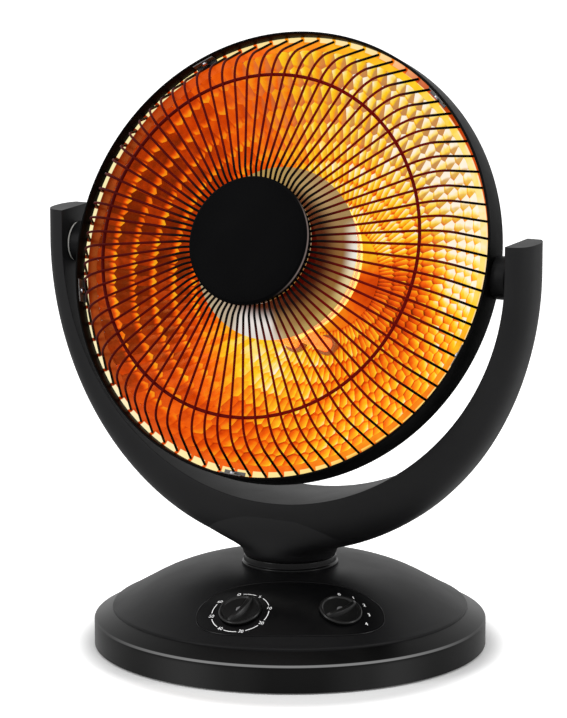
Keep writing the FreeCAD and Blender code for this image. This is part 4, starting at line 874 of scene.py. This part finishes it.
ARC_STEPS = 96
yoke_angles = [math.radians(-90 + 180 * k / ARC_STEPS) for k in range(ARC_STEPS + 1)]
rises = [ARM_RISE - 0.8, ARM_RISE * 0.5]
yoke_stations = [(yoke_angles[0], r) for r in rises] + [(a, 0.0) for a in yoke_angles]
yoke_stations += [(yoke_angles[-1], r) for r in reversed(rises)]
yoke_verts = []
for angle, rise in yoke_stations:
    section = yoke_section(angle)
    yoke_verts += [yoke_point(angle, rise, p[0], p[1]) for p in section]
yoke_faces = ring_faces(len(yoke_stations), len(section), caps=True)
finish_mesh(new_mesh("yoke_shell", yoke_verts, yoke_faces), yoke_black, YOKE, 34.0,
            "yoke", "black_satin_plastic", "yoke_front_shell")

# %% Neck
NECK_BACK = 36.0
NECK_RINGS = [(72.0, 35.4, 35.6, 2.0), (73.5, 36.2, 37.2, 2.0), (77.0, 37.2, 38.0, 2.0), (80.0, 40.5, 38.0, 2.15),
              (83.0, 47.0, 37.9, 2.35), (86.5, 57.0, 37.7, 2.5), (90.0, 66.0, 37.5, 2.6), (95.0, 74.0, 37.4, 2.6),
              (100.0, 80.0, 37.3, 2.6), (106.0, 84.0, 36.9, 2.6), (112.0, 84.0, 36.0, 2.6)]
NECK_STEPS = 128
neck_verts = []
for height, half_width, half_deep, power in NECK_RINGS:
    for k in range(NECK_STEPS):
        c, s = math.cos(2 * math.pi * k / NECK_STEPS), math.sin(2 * math.pi * k / NECK_STEPS)
        deep = half_deep if s < 0 else min(half_deep, NECK_BACK)
        neck_verts.append(Vector((half_width * squared(c, 2 / power), deep * squared(s, 2 / power), height)) * MM)
finish_mesh(new_mesh("yoke_neck", neck_verts, ring_faces(len(NECK_RINGS), NECK_STEPS, caps=True)), yoke_black, YOKE,
            60.0, "yoke", "black_satin_plastic")

# %% [markdown]
# The guard is a cage of bent wires. One wire is drawn once as a path; a Geometry Nodes tree gives it a
# round section, copies it round the axis and adds the rings that it is welded to. The count and the wire
# sizes are inputs of the tree, so a closer cage is one number away.

# %% Guard
WIRE_COUNT = 80
wire_path = rounded([(43.5, 59.3, 0), (57.0, 63.4, 12.0), (149.5, 46.7, 34.0), (170.6, 0.8, 0)], 8)
path_curve = bpy.data.curves.new("guard_wire", "CURVE")
path_curve.dimensions = "3D"
spline = path_curve.splines.new("POLY")
spline.points.add(len(wire_path) - 1)
for point, (radius, height) in zip(spline.points, wire_path):
    point.co = (radius * MM, 0, height * MM, 1)
guard = add_object("guard_cage", path_curve)


def new_geometry_tree(name, **kinds):
    """A tree that takes and gives geometry, the identifiers of its further inputs, and their fields."""
    tree = bpy.data.node_groups.new(name, "GeometryNodeTree")
    tree.interface.new_socket("Geometry", in_out="INPUT", socket_type="NodeSocketGeometry")
    names = {}
    for word, kind in kinds.items():
        socket = tree.interface.new_socket(word.replace("_", " "), in_out="INPUT", socket_type=f"NodeSocket{kind}")
        names[word] = socket.identifier
    tree.interface.new_socket("Geometry", in_out="OUTPUT", socket_type="NodeSocketGeometry")
    given = {socket.name: Field(socket) for socket in tree.nodes.new("NodeGroupInput").outputs}
    return tree, names, given


def joined(tree, parts):
    """Several geometries as one."""
    node = tree.nodes.new("GeometryNodeJoinGeometry")
    for part in parts:
        feed(node.inputs["Geometry"], part)
    return Field(node.outputs["Geometry"])


cage, cage_inputs, given = new_geometry_tree("wire_cage", Wire_Count="Int", Wire_Radius="Float",
                                             Ring_Wire_Radius="Float", Paint="Material")
wire_round = made(cage, "GeometryNodeCurvePrimitiveCircle", Resolution=8, Radius=given["Wire Radius"])
wire_skin = made(cage, "GeometryNodeCurveToMesh", Curve=given["Geometry"], Profile_Curve=wire_round, Fill_Caps=True)
turn_angle = made(cage, "GeometryNodeInputIndex") * calc("DIVIDE", 2 * math.pi, given["Wire Count"])
spin = made(cage, "FunctionNodeEulerToRotation", Euler=made(cage, "ShaderNodeCombineXYZ", Z=turn_angle))
hubs = made(cage, "GeometryNodePoints", Count=given["Wire Count"])
cage_parts = [made(cage, "GeometryNodeInstanceOnPoints", Points=hubs, Instance=wire_skin, Rotation=spin)]
for ring_radius, ring_height, thickness in ((132.5, 47.5, 0.9), (172.35, 0.6, 0.2), (45.0, 57.5, 1.0)):
    ring = made(cage, "GeometryNodeCurvePrimitiveCircle", Resolution=160, Radius=ring_radius * MM)
    lifted = made(cage, "GeometryNodeTransform", Geometry=ring, Translation=(0, 0, ring_height * MM))
    ring_round = made(cage, "GeometryNodeCurvePrimitiveCircle", Resolution=10,
                      Radius=given["Ring Wire Radius"] * thickness)
    cage_parts.append(made(cage, "GeometryNodeCurveToMesh", Curve=lifted, Profile_Curve=ring_round))
whole = made(cage, "GeometryNodeRealizeInstances", Geometry=joined(cage, cage_parts))
smooth = made(cage, "GeometryNodeSetShadeSmooth", Geometry=whole)
painted = made(cage, "GeometryNodeSetMaterial", Geometry=smooth, Material=given["Paint"])
add_node(cage, "NodeGroupOutput", Geometry=painted)


def baked(holder, tree, names, values, place, *dressing):
    """Runs a tree on a holder and makes the result a plain piece at the origin."""
    modifier = holder.modifiers.new(tree.name, "NODES")
    modifier.node_group = tree
    for word, value in values.items():
        modifier[names[word]] = value
    name = holder.name
    mesh = frozen(holder)
    mesh.transform(place)
    place_piece(name, mesh, *dressing)


cage_values = {"Wire_Count": WIRE_COUNT, "Wire_Radius": 1.0 * MM, "Ring_Wire_Radius": 1.5 * MM, "Paint": guard_paint}
baked(guard, cage, cage_inputs, cage_values, HEAD, "head", "guard_paint",
      "guard_wires", "guard_mid_ring", "guard_outer_ring", "guard_inner_ring")

# %% [markdown]
# Screws repeat as well. A second tree makes one pan-head screw from a short and a long cylinder, cuts a
# cross into its head, and sets a copy on every point it is given. Three sets use it: in the back of the
# yoke, in the rear housing and under the base.

# %% Screws
HEAD_HEIGHT = 2.0
COVER_INNER_EDGE = 2.5
COVER_OUTER_EDGE = 1.0
HEAD_PROUD = 0.4
screws, screw_inputs, given = new_geometry_tree("pan_screws", Head_Radius="Float", Shank_Length="Float",
                                                Facing="Vector", Steel="Material")
head_radius = given["Head Radius"]
shank_length = given["Shank Length"]
pan = made(screws, "GeometryNodeMeshCylinder", Vertices=24, Radius=head_radius, Depth=HEAD_HEIGHT * MM)
slot_length = head_radius * 1.3
slot_width = head_radius * 0.24
cuts = []
for width, length in ((slot_length, slot_width), (slot_width, slot_length)):
    size = made(screws, "ShaderNodeCombineXYZ", X=width, Y=length, Z=HEAD_HEIGHT * MM)
    bar = made(screws, "GeometryNodeMeshCube", Size=size)
    cuts.append(made(screws, "GeometryNodeTransform", Geometry=bar, Translation=(0, 0, HEAD_HEIGHT * 0.55 * MM)))
crossed = made(screws, "GeometryNodeMeshBoolean", Mesh_1=pan, Mesh_2=joined(screws, cuts))
shank = made(screws, "GeometryNodeMeshCylinder", Vertices=16, Radius=head_radius * 0.5, Depth=shank_length)
drop = made(screws, "ShaderNodeCombineXYZ", Z=shank_length * -0.5 - 0.5 * HEAD_HEIGHT * MM)
lowered = made(screws, "GeometryNodeTransform", Geometry=shank, Translation=drop)
facing = made(screws, "FunctionNodeEulerToRotation", Euler=given["Facing"])
placed = made(screws, "GeometryNodeInstanceOnPoints", Points=given["Geometry"],
              Instance=joined(screws, [crossed, lowered]), Rotation=facing)
whole = made(screws, "GeometryNodeRealizeInstances", Geometry=placed)
steeled = made(screws, "GeometryNodeSetMaterial", Geometry=whole, Material=given["Steel"])
add_node(screws, "NodeGroupOutput", Geometry=steeled)


def screw_set(name, body, node, points, facing_turn, length, place):
    """Screws with the middles of their heads at points in metres, facing by an Euler turn."""
    holder = add_object(name, new_mesh(name, points, []))
    values = {"Head_Radius": 4.0 * MM, "Shank_Length": length * MM, "Facing": facing_turn, "Steel": screw_steel}
    baked(holder, screws, screw_inputs, values, place, body, "screw_steel", node)


def cover_point(angle):
    """The middle of a back screw's head, half-way between the cover's edges."""
    middle = (COVER_INNER_EDGE + yoke_thickness(angle) * (1 - BACK_CUT) - COVER_OUTER_EDGE) / 2
    return yoke_point(angle, 0, middle, yoke_half_depth(angle) + HEAD_PROUD)


def circle_points(radius, height, angles):
    return [Vector((radius * math.cos(math.radians(a)), radius * math.sin(math.radians(a)), height)) * MM
            for a in angles]


cover_angles = [math.radians(a) for a in (-66, -42, -18, 18, 42, 66)]
screw_set("cover_screws", "yoke", "yoke_screws", [cover_point(a) for a in cover_angles],
          (-math.pi / 2, 0, 0), 10.5, YOKE)
screw_set("rear_screws", "head", "housing_screws", circle_points(50, -123.8, (90, 210, 330)),
          (math.pi, 0, 0), 10.2, HEAD)
screw_set("floor_screws", "base", "plate_screws", circle_points(146.3, 2.0, (0, 90, 180, 270)),
          (math.pi, 0, 0), 4.0, Matrix())

# %% [markdown]
# The rim is a rolled hoop of painted sheet, and the cap is a shallow moulded dome that hides the wires'
# ends. The deflector in front of the tube is a polished cone that sends the heat back into the dish.

# %% Rim, cap and bosses
turned_piece("rim_ring", [
    (175.0, -14.0, 1.0), (175.0, 13.0, 1.4), (173.4, 13.0, 0.6), (172.8, 11.8, 0),
    (172.8, -0.8, 0), (168.0, -0.8, 0), (168.0, -2.4, 0), (172.8, -2.4, 0), (172.8, -14.0, 0.6)],
    rim_paint, ("head", "rim_paint", "rim_hoop"), HEAD, 192)
turned_piece("cap_face", [
    (0, 69.3, 0), (30.0, 68.9, 0), (42.0, 68.2, 0), (47.6, 67.5, 2.0), (49.6, 66.0, 1.0), (49.6, 62.6, 0.4),
    (47.6, 62.6, 0.4), (47.6, 64.8, 0), (6.0, 64.8, 0), (6.0, 56.0, 0), (0, 56.0, 0)], cap_black,
    ("head", "black_satin_plastic", "centre_cap"), HEAD, 160)
for way, side_name in ((1, "right"), (-1, "left")):
    sideways = TILT @ Matrix.Rotation(math.radians(90 * way), 4, "Y")
    turned_piece(f"{side_name}_boss", [
        (0, 173.6, 0), (16.5, 173.6, 0), (16.5, 186.5, 1.4), (6.0, 186.5, 0), (6.0, 202.4, 0.6), (0, 202.4, 0)],
        satin_black, ("head", "black_satin_plastic", f"{side_name}_pivot_boss"), sideways, 96)

# %% Deflector with painted reflections
# The cone's finish is painted reflection as a glow: white lobes below and to the right, brown and gold round the
# cone, and a dark red disc in its middle.
deflector_shine, tree, shader = new_finish("deflector_shine")
turn, reach = turn_and_reach(tree)
inner_cone = ramp(turn, [
    (0.00, (0.30, 0.20, 0.08)), (0.17, (0.55, 0.46, 0.34)), (0.205, (0.96, 0.92, 0.90)),
    (0.265, (0.94, 0.90, 0.86)), (0.285, (0.36, 0.22, 0.08)), (0.36, (0.30, 0.16, 0.04)), (0.50, (0.26, 0.12, 0.03)),
    (0.58, (0.34, 0.22, 0.09)), (0.66, (0.42, 0.30, 0.14)), (0.80, (0.46, 0.32, 0.10)),
    (1.00, (0.30, 0.20, 0.08))], True)
outer_cone = ramp(turn, [
    (0.00, (0.40, 0.30, 0.12)), (0.17, (0.60, 0.50, 0.34)), (0.205, (0.90, 0.88, 0.86)),
    (0.265, (0.86, 0.80, 0.74)), (0.30, (0.50, 0.36, 0.14)), (0.40, (0.54, 0.38, 0.10)), (0.46, (0.90, 0.76, 0.40)),
    (0.51, (1.00, 0.98, 0.92)), (0.55, (0.92, 0.84, 0.66)), (0.58, (0.36, 0.25, 0.10)), (0.66, (0.38, 0.27, 0.12)),
    (0.80, (0.46, 0.32, 0.10)), (1.00, (0.40, 0.30, 0.12))], True)
cone_light = blend(eased(reach, 0.057, 0.0665), inner_cone, outer_cone)
glow = blend(eased(reach, 0.043, 0.057), (0.06, 0.001, 0.0005, 1), cone_light)
shade(shader, Emission_Color=glow, Emission_Strength=0.8, Base_Color=(0.08, 0.04, 0.015, 1), Metallic=1.0,
      Roughness=0.3)
bumped(shader, noise(tree, 300.0), 0.00002)
turned_piece("deflector_cone", [
    (4.2, 24.0, 0), (38.0, 24.0, 3.0), (66.4, 15.1, 0), (67.4, 14.6, 0.2), (67.4, 15.6, 0.2), (38.2, 24.8, 3.0),
    (4.2, 24.8, 0)], deflector_shine, ("head", "reflector_metal", "deflector"), HEAD, 160)

# %% [markdown]
# The facets are laid out like scales: rings of cells, every other ring shifted by half a cell, with the
# borders zigzagging so that the cells are six-sided. Each cell is a slightly crowned patch with its own
# maps. They lie just in front of the plain dish, which stays behind them as the sheet's back.

# %% Facets of the dish
FACETS_ROUND = 104
FACET_PITCH = 16.2
FACET_ZIGZAG = 1.5
FACET_CROWN = 0.55
DISH_ARC = 249.3
DISH_CENTRE = Vector((-30.2, 158.6))
MOUTH_ANGLE = math.atan2(-158.6, 193.2)


def dish_point(arc, angle, lift):
    """A point of the dish's face at an arc length from its mouth, lifted off it. Millimetres."""
    swing = MOUTH_ANGLE - arc / DISH_ARC
    size = DISH_ARC - lift
    radius = DISH_CENTRE.x + size * math.cos(swing)
    height = DISH_CENTRE.y + size * math.sin(swing)
    return Vector((radius * math.cos(angle), radius * math.sin(angle), height))


def scattered(ring, cell):
    """A number from 0 to 1 that looks random but is the same each time."""
    return (math.sin(ring * 12.9898 + cell * 78.233) * 43758.5453) % 1.0


facet_verts = []
facet_faces = []
facet_cell = []
facet_tone = []
FACET_RINGS = 9
CELL_STEPS = 4
for ring in range(FACET_RINGS):
    for cell in range(FACETS_ROUND):
        centre = 2 * math.pi * (cell + 0.5 * (ring % 2)) / FACETS_ROUND
        tone_value = scattered(ring, cell)
        start = len(facet_verts)
        cell_points = []
        for i in range(CELL_STEPS + 1):
            a = 2 * i / CELL_STEPS - 1
            half = FACET_PITCH / 2 + FACET_ZIGZAG * (1 - 2 * abs(a))
            angle = centre + a * math.pi / FACETS_ROUND
            for j in range(CELL_STEPS + 1):
                b = 2 * j / CELL_STEPS - 1
                arc = max(0.0, FACET_PITCH * (ring + 0.5) - b * half)
                crown = FACET_CROWN * (1 - a * a) * (1 - b * b)
                facet_verts.append(dish_point(arc, angle, crown) * MM)
                cell_points.append((a, -b))
        rows = CELL_STEPS + 1
        for i in range(CELL_STEPS):
            for j in range(CELL_STEPS):
                corners = (i * rows + j, (i + 1) * rows + j, (i + 1) * rows + j + 1, i * rows + j + 1)
                facet_faces.append(tuple(start + c for c in corners))
                facet_cell += [cell_points[c] for c in corners]
                facet_tone.append(tone_value)
facet_mesh = new_mesh("dish_facets", facet_verts, facet_faces)
cell_layer = facet_mesh.uv_layers.new(name="cell")
cell_layer.data.foreach_set("uv", [v for pair in facet_cell for v in pair])
tone_layer = facet_mesh.attributes.new("tone", "FLOAT", "FACE")
tone_layer.data.foreach_set("value", facet_tone)
finish_mesh(facet_mesh, facet_glow, HEAD, 20.0, "head", "reflector_metal")

# %% [markdown]
# The dish ends in a flat edge with a short upright lip against the rim's wall. The flat part has a painted
# glow as dim as the facets beside it, and the lip has the tube's reflection painted on as a thin bright line,
# broken by the painted shadow of each wire. On the right the line lies a little further in, with a strip
# of painted shade from the rim outside it. The middle of the dish has no facets; it gets the same painted glow.

# %% Edge and middle of the dish
edge_glow, tree, shader = new_finish("edge_glow")
turn, reach = turn_and_reach(tree)
line_light = ramp(turn, [
    (0.00, (1.0, 0.90, 0.50)), (0.12, (1.0, 0.90, 0.55)), (0.25, (1.0, 0.84, 0.36)), (0.36, (0.98, 0.66, 0.10)),
    (0.45, (1.0, 0.72, 0.30)), (0.56, (1.0, 0.84, 0.50)), (0.68, (1.0, 0.80, 0.40)),
    (0.80, (1.0, 0.80, 0.34)), (0.90, (1.0, 0.88, 0.44)), (1.00, (1.0, 0.90, 0.50))], True)
# The bright line is a painted reflection of the tube, with a painted gap in the shadow of each wire.
dash = calc("ABSOLUTE", calc("FRACT", turn * WIRE_COUNT) - 0.5)
lit = 1.0 - eased(dash, 0.37, 0.41)
right_side = ramp(turn, grey([(0.30, 0.0), (0.38, 1.0), (0.64, 1.0), (0.72, 0.0)]), True)
step_in = ramp(turn, grey([(0.0, 0.0), (0.12, 0.2), (0.25, 0.9), (0.36, 1.0), (0.60, 1.0), (0.75, 0.3),
                           (0.9, 0.0)]), True)
line_start = step_in * -0.0036 + 0.1700
# On the right, outside the line, a strip of painted shade from the rim.
beyond_line_right = right_side * eased(reach, 0.1676, 0.1680)
line = lit * eased(reach - line_start, 0.0, 0.0004) * (1.0 - beyond_line_right)
uneven = noise(tree, 120.0, 3.0) * 0.20 - 0.14
rim_shade_right = eased(reach, 0.1676, 0.1682) * (right_side * -0.55)
dim_light = ramp(dish_heat(tree) + uneven + rim_shade_right, PAINTED_GLOW_COLOURS)
shade(shader, Emission_Color=blend(line, dim_light, line_light), Emission_Strength=0.95,
      Base_Color=(0.05, 0.015, 0.003, 1), Metallic=1.0, Roughness=0.35)
turned_piece("dish_edge", [
    (162.2, -0.4, 0), (162.2, 0.1, 0), (171.8, 0.1, 0.2), (172.0, 1.2, 0.2), (172.7, 1.2, 0.2), (172.7, -0.4, 0)],
    edge_glow, ("head", "reflector_metal"), HEAD, 192)
turned_piece("dish_middle", [
    (4.4, -83.9, 0), (4.4, -83.6, 0), (30.0, -83.6, 0), (44.0, -78.6, 0), (44.3, -78.9, 0), (30.0, -83.9, 0)],
    edge_glow, ("head", "reflector_metal"), HEAD, 96)

# %% [markdown]
# The tube is quartz and the filament in it is a braid of carbon that glows amber. Both stay as they are
# in the frame and only get their finishes. The tube's skin is filled with the filament's orange light,
# with two thin yellow lines along its outer side where the light is thickest.

# %% Tube and filament
quartz, tree, shader = new_finish("quartz")
reach = turn_and_reach(tree)[1]
on_ring = eased(head_frame(tree)[2], -0.016, -0.013)
near_line = eased(reach, 0.0588, 0.0591) * eased(reach, 0.0597, 0.0594)
lines = on_ring * calc("MAXIMUM", near_line, eased(reach, 0.0609, 0.0612))
streaks = ramp(noise(tree, 260.0, 3.0), [(0.3, (0.55, 0.05, 0.002)), (0.7, (0.80, 0.12, 0.004))])
shade(shader, Emission_Color=blend(lines, streaks, (1.0, 0.62, 0.10, 1)), Emission_Strength=0.9,
      Base_Color=(1.0, 0.80, 0.45, 1), Roughness=0.05, Transmission_Weight=0.04, IOR=1.45)
carbon_glow, tree, shader = new_finish("carbon_glow")
braid = add_node(tree, "ShaderNodeTexVoronoi", Vector=object_coords(tree), Scale=900.0)
strands = ramp(braid.outputs["Distance"], [(0.0, (1.0, 0.50, 0.05)), (0.6, (1.0, 0.82, 0.25))])
shade(shader, Emission_Color=strands, Emission_Strength=0.9, Base_Color=(0.05, 0.03, 0.02, 1))
print("tube ready")

# %% [markdown]
# Everything that is carried over as it is gets the finish of its own slot, so that no solid is left with
# a flat colour, not even the ones inside the base that only show when the part is taken apart. The
# guard's clips have a darker steel of their own.

# %% Finishes of the carried-over solids
SLOT_FINISH = {
    "black_satin_plastic": satin_black, "black_gloss_plastic": gloss_black, "panel_plastic": panel_black,
    "knob_plastic": knob_black, "white_nylon": white_nylon, "switch_plastic": grey_plastic,
    "rim_paint": rim_paint, "guard_paint": guard_paint, "reflector_metal": dish_back,
    "housing_paint": housing_paint, "plain_steel": plain_steel, "screw_steel": screw_steel,
    "quartz": quartz, "carbon_glow": carbon_glow, "end_cap_ceramic": pale_ceramic,
    "foot_rubber": black_rubber, "ballast_iron": rough_iron,
}
for entry in frame["record"]["subparts"]:
    solid = frame["nodes"][entry["node"]]
    solid.data.materials.clear()
    solid.data.materials.append(SLOT_FINISH[entry["material_slot"]])
clips = frame["nodes"]["guard_clips"].data.materials
clips.clear()
clips.append(clip_steel)
